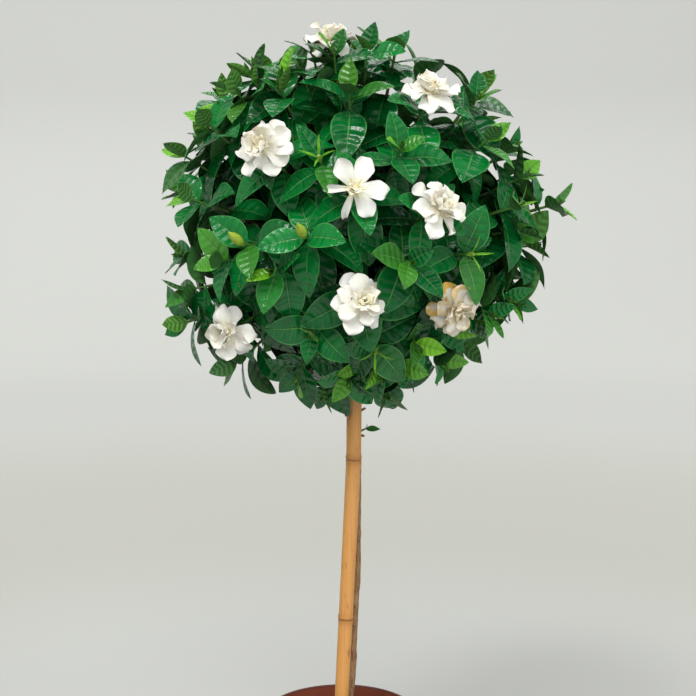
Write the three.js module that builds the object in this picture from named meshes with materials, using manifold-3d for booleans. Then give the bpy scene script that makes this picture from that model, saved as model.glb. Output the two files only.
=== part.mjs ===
// A gardenia grown as a standard: a round head of glossy leafy shoots and white double blooms on one bare
// woody stem, tied to a bamboo cane, in a thin terracotta-coloured pot of compost.
// Millimetres, +Z up, the origin under the middle of the pot. The front looks along -Y, +X is to the right.

import * as THREE from "three";
import { mergeVertices } from "three/addons/utils/BufferGeometryUtils.js";
import Module from "manifold-3d";

const wasm = await Module();
wasm.setup();

// ---- driving dimensions ----

const GAP = 0.35; // between pieces that touch
const FINEST = 0.001; // detail under this size is closed up
const UP = new THREE.Vector3(0, 0, 1);
const SIDEWAYS = new THREE.Vector3(1, 0, 0);

const POT = {
  height: 150,
  rimRadius: 85,
  footRadius: 60,
  wall: 2,
  floor: 3,
  collar: 24, // height of the stepped-out band under the lip
  step: 2.6, // how far the band stands out
  lip: 3, // roll of the lip
  drains: { count: 5, radius: 5, ring: 38, sides: 8 },
  sides: 24,
};
const SOIL = { below: 14, bump: 1.6, sides: 18, rings: 3 };

const CANE = {
  // The cane's middle line, bending a little at each of its knots.
  line: [
    [-6.5, -7, 26],
    [-4, -7, 84],
    [5, -7, 261],
    [13.6, -7, 438],
    [15, -7.5, 615],
    [15.2, -7.5, 652],
  ],
  knots: [84, 261, 438, 615],
  radius: { foot: 7.3, head: 8.3 },
  knotBand: 5, // height of the raised band at a knot
  knotRise: 0.8,
  sides: 9,
};

const TRUNK = {
  line: [
    [4.5, 8, 40],
    [5.5, 8, 140],
    [8, 8, 171],
    [10.6, 7.6, 192],
    [13, 7.8, 258],
    [16.2, 8.2, 313],
    [16.6, 8.8, 400],
    [15.8, 8.6, 490],
    [16.4, 9.2, 566],
    [14.4, 8.6, 640],
    [15.6, 3, 716],
  ],
  radius: { foot: 6.4, head: 4.4 },
  sides: 7,
};
const TWIG = { limb: 3.4, limbEnd: 2.8, branch: 1.7, stem: 1.8, shootTip: 1.3 }; // radii of wood and green stems

const CROWN = { centre: new THREE.Vector3(15, 0, 694), upturn: 0.22 };
const SHOOT = { length: 72, foot: 12, forkTurn: 25 };

const TIE = { level: 536, height: 5, thick: 1.4, slack: 0.5 };
const SPROUT = { level: 462, reach: 13, leafLength: 17, leafWidth: 7.5 };

// Pairs of leaves down a shoot, from its tip: how far under the tip, how long, and how steeply they rise.
const PAIRS = [
  { under: 2, length: 31, pitch: 60, arch: 0.25 },
  { under: 9, length: 46, pitch: 38, arch: 0.5 },
  { under: 19, length: 56, pitch: 20, arch: 0.75 },
];
const LEAF = {
  thick: 1.2,
  ratio: [0.54, 0.66], // width over length
  size: [0.94, 1.18],
  droop: 0.22,
  towardsLight: 0.4,
  tries: 14,
};
// How far a leaf may be turned, in degrees, and shortened to keep clear of its neighbours.
const BENT_CLEAR = { azimuth: 42, pitch: 34, roll: 34, shorter: 0.3 };

const PETALS = {
  outer: { count: 6, length: 28, width: 18, pitch: 6, arch: 0.55, ring: 2.6, level: -0.5 },
  inner: { count: 3, length: 21, width: 16, pitch: 42, arch: -0.3, ring: 1.6, level: 1.2 },
};
const BLOOM = { tube: 13, tubeRadius: 2, throat: 4.2, petalThick: 1.1, calyxRadius: 3.4 };
const BUD = { length: 24, radius: 5.2, sides: 6 };
const SEPALS = { count: 4, length: 24, width: 2.6, pitch: 52, arch: 0.5, thick: 1.2 };

// Where each shoot of the front comes to the surface: longitude from the front towards +X and latitude, in
// degrees, the reach of its tip from the crown's centre, what it ends in, and the turn of its first leaves.
// A twin is a second, leafy shoot of the same spray.
const FRONT_SHOOTS = [
  { at: [-31, 23], reach: 172, ends: "bloom", faces: [-22, 22], spin: 40 },
  { at: [31, 41], reach: 174, ends: "bloom", faces: [24, 62], spin: 75 },
  { at: [0, 11], reach: 172, ends: "single", faces: [-6, 4], spin: 20 },
  { at: [24, 4], reach: 172, ends: "bloom", faces: [48, 26], spin: 60 },
  { at: [-55, -36], reach: 176, ends: "bloom", faces: [-42, -12], spin: 30 },
  { at: [1, -25], reach: 172, ends: "bloom", faces: [22, 22], spin: 10, twin: { at: [-17, -36], spin: 70 } },
  { at: [35, -26], reach: 174, ends: "bloom", faces: [20, -30], spin: 70 },
  { at: [-22, 69], reach: 176, ends: "bloom", faces: [-30, 76], spin: 0 },
  { at: [-16, -3], reach: 176, ends: "bud", spin: 95 },
  { at: [-38, -6], reach: 176, ends: "bud", spin: 50, twin: { at: [-50, -12], spin: 20 } },
  { at: [-12, 21], reach: 174, ends: "calyx", spin: 25 },
  { at: [63, 5], reach: 180, ends: "calyx", spin: 60 },
  { at: [38, -9], reach: 178, ends: "calyx", spin: 5, twin: { at: [17, -11], spin: 60 } },
  { at: [8, -43], reach: 178, ends: "calyx", spin: 55, twin: { at: [27, -42], spin: 15 } },
  { at: [-66, 31], reach: 186, ends: "leaves", spin: 5, twin: { at: [-93, 28], spin: 50 } },
  { at: [-64, 7], reach: 182, ends: "leaves", spin: 40 },
  { at: [-82, -12], reach: 182, ends: "leaves", spin: 80, twin: { at: [-108, -2], spin: 25 } },
  { at: [-80, -31], reach: 206, ends: "leaves", spin: 20 },
  { at: [-80, -50], reach: 196, ends: "leaves", spin: 50 },
  { at: [-40, -60], reach: 178, ends: "leaves", spin: 10 },
  { at: [-5, -64], reach: 174, ends: "leaves", spin: 35 },
  { at: [52, -52], reach: 176, ends: "leaves", spin: 35 },
  { at: [70, -26], reach: 180, ends: "leaves", spin: 65 },
  { at: [54, 27], reach: 178, ends: "leaves", spin: 15, twin: { at: [82, 24], spin: 70 } },
  { at: [-3, 45], reach: 176, ends: "leaves", spin: 85 },
  { at: [32, 66], reach: 180, ends: "leaves", spin: 40 },
  { at: [84, 46], reach: 182, ends: "leaves", spin: 0 },
  { at: [-80, 56], reach: 180, ends: "leaves", spin: 60 },
  { at: [86, 4], reach: 206, ends: "leaves", spin: 88 },
  { at: [-27, -14], reach: 176, ends: "leaves", spin: 208, turn: 42 },
  { at: [15, 24], reach: 174, ends: "leaves", spin: 0 },
  { at: [-36, 46], reach: 176, ends: "leaves", spin: 30 },
];
// The back is filled by rings of forked sprays, some of which carry a bloom.
const BACK_RINGS = [
  { latitude: 62, longitudes: [145, 228], blooms: [] },
  { latitude: 30, longitudes: [124, 178, 232], blooms: [178] },
  { latitude: -4, longitudes: [118, 160, 206], blooms: [206] },
  { latitude: -40, longitudes: [122, 180, 236], blooms: [122] },
];
const BACK = { reach: 176, wander: 5 };
const TWIN_REACH = 174;

// ---- small tools ----

const vec = (x, y, z) => new THREE.Vector3(x, y, z);
const radians = THREE.MathUtils.degToRad;
const mixed = (a, b, t) => a + (b - a) * t;

/** Seeded draws from 0 to 1: the same list for the same seed. */
function draws(seed) {
  let state = Math.imul(seed, 2654435761) >>> 0;
  const next = () => {
    state = (Math.imul(state, 1664525) + 1013904223) >>> 0;
    return state / 2 ** 32;
  };
  next();
  next();
  return next;
}

/** The unit vector at a longitude and latitude in degrees, longitude 0 to the front. */
function heading([longitude, latitude]) {
  const [lon, lat] = [radians(longitude), radians(latitude)];
  return vec(Math.cos(lat) * Math.sin(lon), -Math.cos(lat) * Math.cos(lon), Math.sin(lat));
}

/** Two unit vectors square to an axis: level to the right of it, and up across it. */
function sidesOf(axis) {
  const right = (Math.abs(axis.z) > 0.97 ? SIDEWAYS.clone() : UP.clone().cross(axis)).normalize();
  const across = axis.clone().cross(right).normalize();
  return [across.clone().cross(axis).normalize(), across];
}

/** A closed geometry from its points and triangles. */
function closed(points, triangles) {
  const geometry = new THREE.BufferGeometry().setFromPoints(points);
  return geometry.setIndex(triangles);
}

/** A closed geometry as a solid that can be joined and cut. */
function solid(geometry) {
  const bare = new THREE.BufferGeometry();
  bare.setAttribute("position", geometry.getAttribute("position"));
  bare.setIndex(geometry.index);
  const merged = mergeVertices(bare, 1e-4);
  return new wasm.Manifold(
    new wasm.Mesh({
      numProp: 3,
      vertProperties: new Float32Array(merged.attributes.position.array),
      triVerts: new Uint32Array(merged.index.array),
    }),
  );
}

const joined = (solids) => wasm.Manifold.union(solids);

/** The triangles of an index without the collapsed ones and without any two that lie back to back. */
function soundTriangles(index) {
  const kept = new Map();
  for (let k = 0; k < index.length; k += 3) {
    const corners = [index[k], index[k + 1], index[k + 2]];
    if (new Set(corners).size < 3) continue;
    const key = [...corners].sort((a, b) => a - b).join();
    if (!kept.delete(key)) kept.set(key, corners);
  }
  return [...kept.values()].flat();
}

/** The surface of a solid, with points that nearly meet joined into one. */
function surface(shape) {
  const mesh = shape.getMesh();
  const rounded = mesh.vertProperties.map((value) => Math.round(value / FINEST) * FINEST);
  const loose = new THREE.BufferGeometry();
  loose.setAttribute("position", new THREE.BufferAttribute(new Float32Array(rounded), 3));
  loose.setIndex(new THREE.BufferAttribute(new Uint32Array(mesh.triVerts), 1));
  const geometry = mergeVertices(loose, FINEST / 4);
  return geometry.setIndex(soundTriangles(geometry.index.array));
}

/** Whether each edge of a surface has just one triangle on either side. */
function isSound(geometry) {
  const index = geometry.index.array;
  const edges = new Set();
  for (let k = 0; k < index.length; k += 1) {
    const next = k % 3 === 2 ? k - 2 : k + 1;
    edges.add(`${index[k]} ${index[next]}`);
  }
  return edges.size === index.length;
}

/** Solids grown into one, without the first repeat whose surface all but coincides with another's. */
function fused(solids) {
  const whole = joined(solids);
  if (isSound(surface(whole))) return whole;
  const trials = solids.map((_, k) => joined(solids.filter((_, other) => other !== k))).reverse();
  return trials.find((fewer) => isSound(surface(fewer)));
}

/** A named mesh of a solid in a plain material. */
function piece(name, shape, material) {
  const geometry = surface(shape);
  geometry.computeVertexNormals();
  const made = new THREE.Mesh(geometry, material);
  made.name = name;
  return made;
}

/** The point of a polyline of [x, y, z] rows at a height. */
function atHeight(line, z) {
  const below = line.filter((row) => row[2] <= z).length;
  const from = THREE.MathUtils.clamp(below - 1, 0, line.length - 2);
  const [low, high] = [line[from], line[from + 1]];
  const share = (z - low[2]) / (high[2] - low[2]);
  return vec(mixed(low[0], high[0], share), mixed(low[1], high[1], share), z);
}

/** A closed tube through rings of { centre, normal, radius }, flat at both ends. */
function loft(rings, sides) {
  const points = [];
  const triangles = [];
  let right = sidesOf(rings[0].normal)[0];
  rings.forEach(({ centre, normal, radius }, row) => {
    right = right.clone().addScaledVector(normal, -right.dot(normal)).normalize();
    const across = normal.clone().cross(right);
    for (let k = 0; k < sides; k += 1) {
      const turn = (2 * Math.PI * k) / sides;
      points.push(
        centre
          .clone()
          .addScaledVector(right, radius * Math.cos(turn))
          .addScaledVector(across, radius * Math.sin(turn)),
      );
      if (row === 0) continue;
      const [a, b] = [(row - 1) * sides + k, (row - 1) * sides + ((k + 1) % sides)];
      triangles.push(a, b, b + sides, a, b + sides, a + sides);
    }
  });
  const top = (rings.length - 1) * sides;
  for (let k = 1; k < sides - 1; k += 1) {
    triangles.push(0, k + 1, k);
    triangles.push(top, top + k, top + k + 1);
  }
  return closed(points, triangles);
}

/** The rings of a tapering tube along points, square to the way it runs. */
function ringsAlong(points, fromRadius, toRadius) {
  return points.map((centre, row) => {
    const before = points[Math.max(0, row - 1)];
    const after = points[Math.min(points.length - 1, row + 1)];
    const radius = mixed(fromRadius, toRadius, row / (points.length - 1));
    return { centre, normal: after.clone().sub(before).normalize(), radius };
  });
}

// ---- blades: leaves, petals and sepals ----

// Half the width of a blade along its length, as a share of its widest, at the few stations of a coarse
// blade: where along it, and how wide.
const OUTLINES = {
  leaf: [[0.34, 0.94], [0.7, 0.88]],
  petal: [[0.42, 0.74], [0.82, 0.92]],
  sepal: [[0.5, 1]],
};

/**
 * A thin arched blade in place. It springs from frame.root and runs along frame.along with its upper face
 * towards frame.upper. Its cross-section is a lens, so that its edges are sharp and both faces share them.
 */
function blade(form, frame, grow = 0) {
  const stations = OUTLINES[form.outline];
  const across = frame.along.clone().cross(frame.upper);
  const spine = (t) => {
    const turn = form.arch * t;
    const run = form.length * (Math.abs(form.arch) < 1e-6 ? t : Math.sin(turn) / form.arch);
    const fall = form.length * (Math.abs(form.arch) < 1e-6 ? 0 : (1 - Math.cos(turn)) / form.arch);
    const point = frame.root.clone().addScaledVector(frame.along, run).addScaledVector(frame.upper, -fall);
    const normal = frame.upper.clone().multiplyScalar(Math.cos(turn));
    return { point, normal: normal.addScaledVector(frame.along, Math.sin(turn)) };
  };
  const points = [frame.root.clone()];
  for (const [t, share] of stations) {
    const { point, normal } = spine(t);
    const half = (form.width / 2) * share * (1 + grow / 10);
    const edge = (side) => {
      const lift = form.fold + side * form.twist * t;
      const out = point.clone().addScaledVector(across, side * half * Math.cos(lift));
      return out.addScaledVector(normal, half * Math.sin(lift));
    };
    const thick = (form.thick + grow) / 2;
    const upper = point.clone().addScaledVector(normal, thick);
    const under = point.clone().addScaledVector(normal, -thick);
    points.push(edge(-1), upper, under, edge(1));
  }
  points.push(spine(1).point);
  return closed(points, bladeTriangles(stations.length));
}

/** The triangles of a blade with that many stations, split alike on both faces. */
function bladeTriangles(stations) {
  const corner = (row) => ({ left: 1 + 4 * row, upper: 2 + 4 * row, under: 3 + 4 * row, right: 4 + 4 * row });
  const tip = 1 + 4 * stations;
  const [first, last] = [corner(0), corner(stations - 1)];
  const made = [0, first.upper, first.left, 0, first.right, first.upper];
  made.push(0, first.left, first.under, 0, first.under, first.right);
  for (let row = 1; row < stations; row += 1) {
    const [a, b] = [corner(row - 1), corner(row)];
    made.push(a.left, a.upper, b.upper, a.left, b.upper, b.left);
    made.push(a.left, b.under, a.under, a.left, b.left, b.under);
    made.push(a.upper, a.right, b.upper, a.right, b.right, b.upper);
    made.push(a.under, b.under, a.right, a.right, b.under, b.right);
  }
  made.push(last.left, last.upper, tip, last.upper, last.right, tip);
  made.push(last.left, tip, last.under, last.under, tip, last.right);
  return made;
}

/** The frame of a blade that leaves an axis sideways at an azimuth, rises by pitch and leans by roll. */
function bladeFrame(axis, root, azimuth, pitch, roll, droop = 0, towardsLight = 0) {
  const [right, over] = sidesOf(axis);
  const side = right.multiplyScalar(Math.cos(azimuth)).addScaledVector(over, Math.sin(azimuth));
  const along = side.clone().multiplyScalar(Math.cos(pitch)).addScaledVector(axis, Math.sin(pitch));
  along.addScaledVector(UP, -droop).normalize();
  const upper = axis.clone().addScaledVector(along, -axis.dot(along)).normalize();
  const across = along.clone().cross(upper);
  const light = THREE.MathUtils.clamp(Math.atan2(-across.z, upper.z), -1.2, 1.2) * towardsLight;
  const turn = roll + light;
  upper.multiplyScalar(Math.cos(turn)).addScaledVector(across, -Math.sin(turn));
  return { root, along, upper };
}

// ---- the plan of the crown ----

/** A shoot: the straight leafy end of a stem, from its base to its tip at the crown's surface. */
function shoot(plan, index) {
  const outwards = heading(plan.at);
  const tip = CROWN.centre.clone().addScaledVector(outwards, plan.reach);
  const axis = outwards.clone().addScaledVector(UP, CROWN.upturn).normalize();
  const base = tip.clone().addScaledVector(axis, -SHOOT.length);
  return { ...plan, index, tip, axis, base };
}

/** The two shoots of a forked spray at the back: side by side round its middle. */
function fork(latitude, longitude, seed, ends) {
  const draw = draws(seed);
  const tilt = mixed(-0.6, 0.6, draw());
  const half = SHOOT.forkTurn / 2;
  return [-1, 1].map((side) => {
    const stretch = 1 / Math.cos(radians(latitude));
    const longitudeTurn = side * half * Math.cos(tilt) * stretch + mixed(-1, 1, draw()) * BACK.wander;
    const latitudeTurn = side * half * Math.sin(tilt) + mixed(-1, 1, draw()) * BACK.wander;
    const at = [longitude + longitudeTurn, latitude + latitudeTurn];
    const isBloom = ends === "bloom" && side === 1;
    return {
      at,
      reach: BACK.reach + mixed(-1, 1, draw()) * BACK.wander,
      ends: isBloom ? "bloom" : "leaves",
      faces: isBloom ? at : undefined,
      spin: 90 * draw(),
    };
  });
}

/** Every spray of the crown, each a list of one or two shoots that share a foot. */
function crownPlan() {
  const sprays = FRONT_SHOOTS.map(({ twin, ...plan }) => {
    return twin ? [plan, { reach: TWIN_REACH, ends: "leaves", ...twin }] : [plan];
  });
  BACK_RINGS.forEach(({ latitude, longitudes, blooms }) =>
    longitudes.forEach((longitude) => {
      const ends = blooms.includes(longitude) ? "bloom" : "leaves";
      sprays.push(fork(latitude, longitude, sprays.length, ends));
    }),
  );
  let index = 0;
  return sprays.map((plans) => {
    const shoots = plans.map((plan) => shoot(plan, (index += 1)));
    const middle = shoots.reduce((sum, one) => sum.add(one.base), vec(0, 0, 0)).divideScalar(shoots.length);
    const axis = shoots.reduce((sum, one) => sum.add(one.axis), vec(0, 0, 0)).normalize();
    return { shoots, axis, foot: middle.addScaledVector(axis, -SHOOT.foot) };
  });
}

// ---- keeping pieces clear of each other ----

/** Solids already in place, each with the spray it belongs to. */
class Neighbours {
  constructor() {
    this.placed = [];
  }

  add(made, owner, isStem = false) {
    this.placed.push({ made, owner, isStem, box: made.boundingBox() });
  }

  /** Whether a solid would cross any piece but the stems of its own spray. */
  crossedBy(made, owner) {
    const box = made.boundingBox();
    const apart = (other) => [0, 1, 2].some((k) => box.min[k] > other.max[k] || box.max[k] < other.min[k]);
    return this.placed.some((one) => {
      if ((one.isStem && one.owner === owner) || apart(one.box)) return false;
      return one.made.intersect(made).volume() > (one.owner === owner ? 0.05 : 1e-4);
    });
  }
}

// ---- the sprays ----

/** The green stems of a spray, with what its shoots end in: a calyx cup, a bud, or spent sepals. */
function stems(spray) {
  const made = [];
  for (const { base, tip, axis, ends } of spray.shoots) {
    const flower = ends === "bloom" || ends === "single";
    const rings = [{ centre: spray.foot, normal: spray.axis, radius: TWIG.stem }];
    if (spray.shoots.length > 1) rings.push({ centre: base, normal: axis, radius: TWIG.stem * 0.95 });
    rings.push({ centre: tip.clone().addScaledVector(axis, flower ? -6 : 0), normal: axis, radius: TWIG.shootTip });
    if (flower) rings.push({ centre: tip, normal: axis, radius: BLOOM.calyxRadius });
    made.push(solid(loft(rings, 3)));
    if (ends === "bud") made.push(bud(tip, axis));
    if (ends === "calyx") made.push(...spentCalyx(tip, axis));
  }
  return made;
}

/** A furled flower bud, spindle-shaped with a pointed twist. */
function bud(tip, axis) {
  const profile = [[-3, 0.25], [2, 0.6], [9, 1], [17, 0.72], [BUD.length, 0.12]];
  const rings = profile.map(([along, share]) => ({
    centre: tip.clone().addScaledVector(axis, along),
    normal: axis,
    radius: BUD.radius * share,
  }));
  return solid(loft(rings, BUD.sides));
}

/** What is left when a flower has dropped: a small ovary with long thin sepals. */
function spentCalyx(tip, axis) {
  const ovary = loft(
    [[-4, 1.2], [2, 2.8], [7, 1.6]].map(([along, radius]) => ({
      centre: tip.clone().addScaledVector(axis, along),
      normal: axis,
      radius,
    })),
    5,
  );
  const made = [solid(ovary)];
  for (let k = 0; k < SEPALS.count; k += 1) {
    const azimuth = (2 * Math.PI * k) / SEPALS.count;
    const root = tip.clone().addScaledVector(axis, 2);
    const frame = bladeFrame(axis, root, azimuth, radians(SEPALS.pitch), 0);
    made.push(solid(blade({ ...SEPALS, outline: "sepal", fold: 0, twist: 0 }, frame)));
  }
  return made;
}

/** The leaf that grows at a place on a shoot, as its form and frame, for one of the ways it may be bent. */
function leaf(stem, pairIndex, side, attempt) {
  const pair = PAIRS[pairIndex];
  const draw = draws(64 * stem.index + 2 * pairIndex + side);
  const length = pair.length * mixed(...LEAF.size, draw());
  const form = {
    outline: "leaf",
    thick: LEAF.thick,
    length,
    width: length * mixed(...LEAF.ratio, draw()),
    arch: pair.arch + mixed(-0.25, 0.3, draw()),
    fold: mixed(0.08, 0.34, draw()),
    twist: mixed(-0.3, 0.3, draw()),
  };
  let azimuth = stem.spin + (stem.turn ?? 90) * pairIndex + 180 * side + mixed(-10, 10, draw());
  let pitch = pair.pitch + mixed(-9, 9, draw());
  let roll = mixed(-12, 12, draw());
  for (let k = 1; k <= attempt; k += 1) {
    const turns = [draw(), draw(), draw()].map((value) => 2 * value - 1);
    if (k < attempt) continue;
    const share = k / LEAF.tries;
    azimuth += share * BENT_CLEAR.azimuth * turns[0];
    pitch += share * BENT_CLEAR.pitch * turns[1];
    roll += share * BENT_CLEAR.roll * turns[2];
    form.length *= 1 - share * BENT_CLEAR.shorter;
    form.width *= 1 - share * BENT_CLEAR.shorter;
  }
  const root = stem.tip.clone().addScaledVector(stem.axis, -pair.under);
  const droop = LEAF.droop * (pairIndex / (PAIRS.length - 1));
  const turned = [azimuth, pitch, roll].map(radians);
  return { form, frame: bladeFrame(stem.axis, root, ...turned, droop, LEAF.towardsLight) };
}

/** Adds a leaf in the first way that keeps it clear of what is already there, or leaves it out. */
function addLeaf(spray, owner, stem, pairIndex, side, neighbours) {
  for (let attempt = 0; attempt <= LEAF.tries; attempt += 1) {
    const { form, frame } = leaf(stem, pairIndex, side, attempt);
    if (neighbours.crossedBy(solid(blade(form, frame, 1)), owner)) continue;
    const made = solid(blade(form, frame));
    neighbours.add(made, owner);
    spray.solids.push(made);
    return;
  }
}

// ---- blooms ----

/** A white bloom: a slender tube bending to face its way, whorls of petals, the inner ones upright. */
function bloom(stem) {
  const facing = heading(stem.faces);
  const foot = stem.tip.clone().addScaledVector(stem.axis, GAP);
  const bend = stem.axis.clone().add(facing).normalize();
  const throat = foot.clone().addScaledVector(bend, BLOOM.tube);
  const shoulder = throat.clone().addScaledVector(facing, -3);
  const tube = [
    { centre: foot, normal: stem.axis, radius: BLOOM.tubeRadius },
    { centre: shoulder, normal: bend, radius: BLOOM.tubeRadius * 1.15 },
    { centre: throat, normal: facing, radius: BLOOM.throat },
    { centre: throat.clone().addScaledVector(facing, 2.4), normal: facing, radius: BLOOM.throat * 0.5 },
  ];
  const made = [solid(loft(tube, 5))];
  const draw = draws(7000 + stem.index);
  const whorls = stem.ends === "single" ? [PETALS.outer] : [PETALS.outer, PETALS.inner];
  whorls.forEach((whorl, row) => {
    for (let k = 0; k < whorl.count; k += 1) {
      const azimuth = (2 * Math.PI * (k + 0.5 * row + 0.2 * (draw() - 0.5))) / whorl.count;
      const pitch = radians(whorl.pitch + mixed(-9, 9, draw()));
      const size = mixed(0.9, 1.1, draw());
      const frame = bladeFrame(facing, throat, azimuth, pitch, radians(mixed(-14, 14, draw())));
      const outwards = frame.along.clone().addScaledVector(facing, -frame.along.dot(facing)).normalize();
      frame.root = throat.clone().addScaledVector(facing, whorl.level).addScaledVector(outwards, whorl.ring);
      const form = {
        outline: "petal",
        thick: BLOOM.petalThick,
        length: whorl.length * size,
        width: whorl.width * size,
        arch: whorl.arch + mixed(-0.25, 0.25, draw()),
        fold: mixed(0.05, 0.3, draw()),
        twist: 0,
      };
      made.push(solid(blade(form, frame)));
    }
  });
  return fused(made);
}

// ---- the wood ----

/** The main limbs: where each leaves the trunk, and where it ends inside the crown. */
function limbs() {
  const ends = [
    { from: 580, at: [-64, -22], reach: 92 },
    { from: 586, at: [64, -24], reach: 92 },
    { from: 596, at: [128, -30], reach: 88 },
    { from: 602, at: [-136, -26], reach: 88 },
    { from: 668, at: [-14, -26], reach: 84 },
    { from: 690, at: [44, 16], reach: 84 },
    { from: 684, at: [-52, 18], reach: 84 },
    { from: 672, at: [98, 14], reach: 84 },
    { from: 662, at: [-108, 20], reach: 84 },
    { from: 676, at: [176, 10], reach: 84 },
    { from: 708, at: [0, 74], reach: 78 },
  ];
  return ends.map(({ from, at, reach }) => {
    const start = atHeight(TRUNK.line, from);
    const end = CROWN.centre.clone().addScaledVector(heading(at), reach);
    const middle = start.clone().lerp(end, 0.5).addScaledVector(UP, -6);
    return [start, middle, end];
  });
}

/** The distance from the cane's middle line to the nearest of some points along a straight twig. */
function clearOfCane(from, to) {
  const top = CANE.line.at(-1)[2];
  const gaps = [];
  for (let t = 0; t <= 1; t += 0.05) {
    const point = from.clone().lerp(to, t);
    const height = Math.min(point.z, top);
    gaps.push(point.distanceTo(atHeight(CANE.line, height)));
  }
  return Math.min(...gaps);
}

/** The branch from the handiest limb to the foot of a spray. */
function branch(spray, allLimbs) {
  const end = spray.foot.clone().addScaledVector(spray.axis, -GAP);
  const knee = end.clone().addScaledVector(spray.axis, -7);
  const starts = allLimbs.flatMap(([, middle, tip]) => [0.35, 0.7, 0.97].map((t) => middle.clone().lerp(tip, t)));
  const handy = starts
    .filter((start) => clearOfCane(start, knee) > CANE.radius.head + TWIG.branch + 2)
    .map((start) => {
      const turn = knee.clone().sub(start).angleTo(spray.axis);
      return { start, cost: start.distanceTo(knee) * (1 + turn) };
    })
    .sort((a, b) => a.cost - b.cost)[0];
  const rings = [
    { centre: handy.start, normal: knee.clone().sub(handy.start).normalize(), radius: TWIG.branch },
    { centre: knee, normal: spray.axis, radius: TWIG.stem * 1.1 },
    { centre: end, normal: spray.axis, radius: TWIG.stem },
  ];
  return solid(loft(rings, 3));
}

/** Short stubs where twigs were pruned off the trunk, just under the crown. */
function prunedStubs() {
  const stubs = [
    { level: 484, way: [64, 30], length: 13 },
    { level: 461, way: [80, -10], length: 9.5 },
    { level: 480, way: [-74, 12], length: 12.5 },
  ];
  return stubs.map(({ level, way, length }) => {
    const start = atHeight(TRUNK.line, level);
    const end = start.clone().addScaledVector(heading(way), length);
    return solid(loft(ringsAlong([start, end], 2, 1.1), 5));
  });
}

/** The trunk with its limbs, the branches to every spray, and the pruned stubs, grown as one. */
function woodSolid(sprays) {
  const rows = TRUNK.line.map((row) => vec(...row));
  const trunk = loft(ringsAlong(rows, TRUNK.radius.foot, TRUNK.radius.head), TRUNK.sides);
  const allLimbs = limbs();
  const parts = [solid(trunk)];
  allLimbs.forEach((points) => parts.push(solid(loft(ringsAlong(points, TWIG.limb, TWIG.limbEnd), 4))));
  sprays.forEach((spray) => parts.push(branch(spray, allLimbs)));
  parts.push(...prunedStubs());
  return fused(parts);
}

// ---- the pot and what stands in it ----

/** The pot's outside and inside radius at a height, on its plain sloping wall. */
const potRadius = (z) => mixed(POT.footRadius, POT.rimRadius - POT.step, z / POT.height);

function potSolid() {
  const { height, wall, floor, collar, step, lip, rimRadius } = POT;
  const profile = [
    [0, 0],
    [POT.footRadius - 2, 0],
    [potRadius(2), 2],
    [potRadius(height - collar), height - collar],
    [potRadius(height - collar) + step, height - collar + 2],
    [rimRadius - 0.6, height - lip],
    [rimRadius, height - lip / 2],
    [rimRadius - lip / 2, height],
    [rimRadius - lip - 0.4, height - lip / 2],
    [potRadius(height - collar) + step - wall, height - collar + 1],
    [potRadius(height - collar) - wall, height - collar - 1],
    [potRadius(floor) - wall - 2, floor],
    [0, floor],
  ].map(([radius, z]) => new THREE.Vector2(radius, z));
  let pot = solid(new THREE.LatheGeometry(profile, POT.sides).rotateX(Math.PI / 2));
  for (let k = 0; k < POT.drains.count; k += 1) {
    const turn = (2 * Math.PI * (k + 0.5)) / POT.drains.count;
    const drain = new THREE.CylinderGeometry(POT.drains.radius, POT.drains.radius, 4 * floor, POT.drains.sides);
    drain.rotateX(Math.PI / 2);
    drain.translate(POT.drains.ring * Math.cos(turn), POT.drains.ring * Math.sin(turn), 0);
    pot = pot.subtract(solid(drain));
  }
  return pot;
}

/** Compost filling the pot, its top raised in crumbs, with plain holes for the trunk and the cane. */
function soilSolid(trunk, cane) {
  const top = POT.height - SOIL.below;
  const inner = (z) => potRadius(z) - POT.wall - GAP * 1.6;
  const foot = POT.floor + GAP;
  const draw = draws(SOIL.sides);
  const lowest = POT.height - POT.collar - 2;
  const rows = [
    { z: foot, radius: inner(POT.floor) - 2.4, bump: 0 },
    { z: lowest, radius: inner(lowest), bump: 0 },
    { z: top, radius: inner(lowest), bump: 0.4 },
  ];
  for (let ring = SOIL.rings - 1; ring > 0; ring -= 1) {
    rows.push({ z: top + 1, radius: (inner(lowest) * ring) / SOIL.rings, bump: SOIL.bump });
  }
  const points = [vec(0, 0, foot)];
  const triangles = [];
  rows.forEach(({ z, radius, bump }, row) => {
    for (let k = 0; k < SOIL.sides; k += 1) {
      const turn = (2 * Math.PI * (k + 0.5 * (row % 2))) / SOIL.sides;
      points.push(vec(radius * Math.cos(turn), radius * Math.sin(turn), z + bump * (2 * draw() - 1)));
      const [a, b] = [1 + row * SOIL.sides + k, 1 + row * SOIL.sides + ((k + 1) % SOIL.sides)];
      if (row === 0) triangles.push(0, b, a);
      else triangles.push(a - SOIL.sides, b - SOIL.sides, b, a - SOIL.sides, b, a);
    }
  });
  const middle = points.length;
  points.push(vec(0, 0, top + 2));
  const last = middle - SOIL.sides;
  for (let k = 0; k < SOIL.sides; k += 1) triangles.push(last + k, last + ((k + 1) % SOIL.sides), middle);
  return solid(closed(points, triangles)).subtract(trunk).subtract(cane);
}

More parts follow.
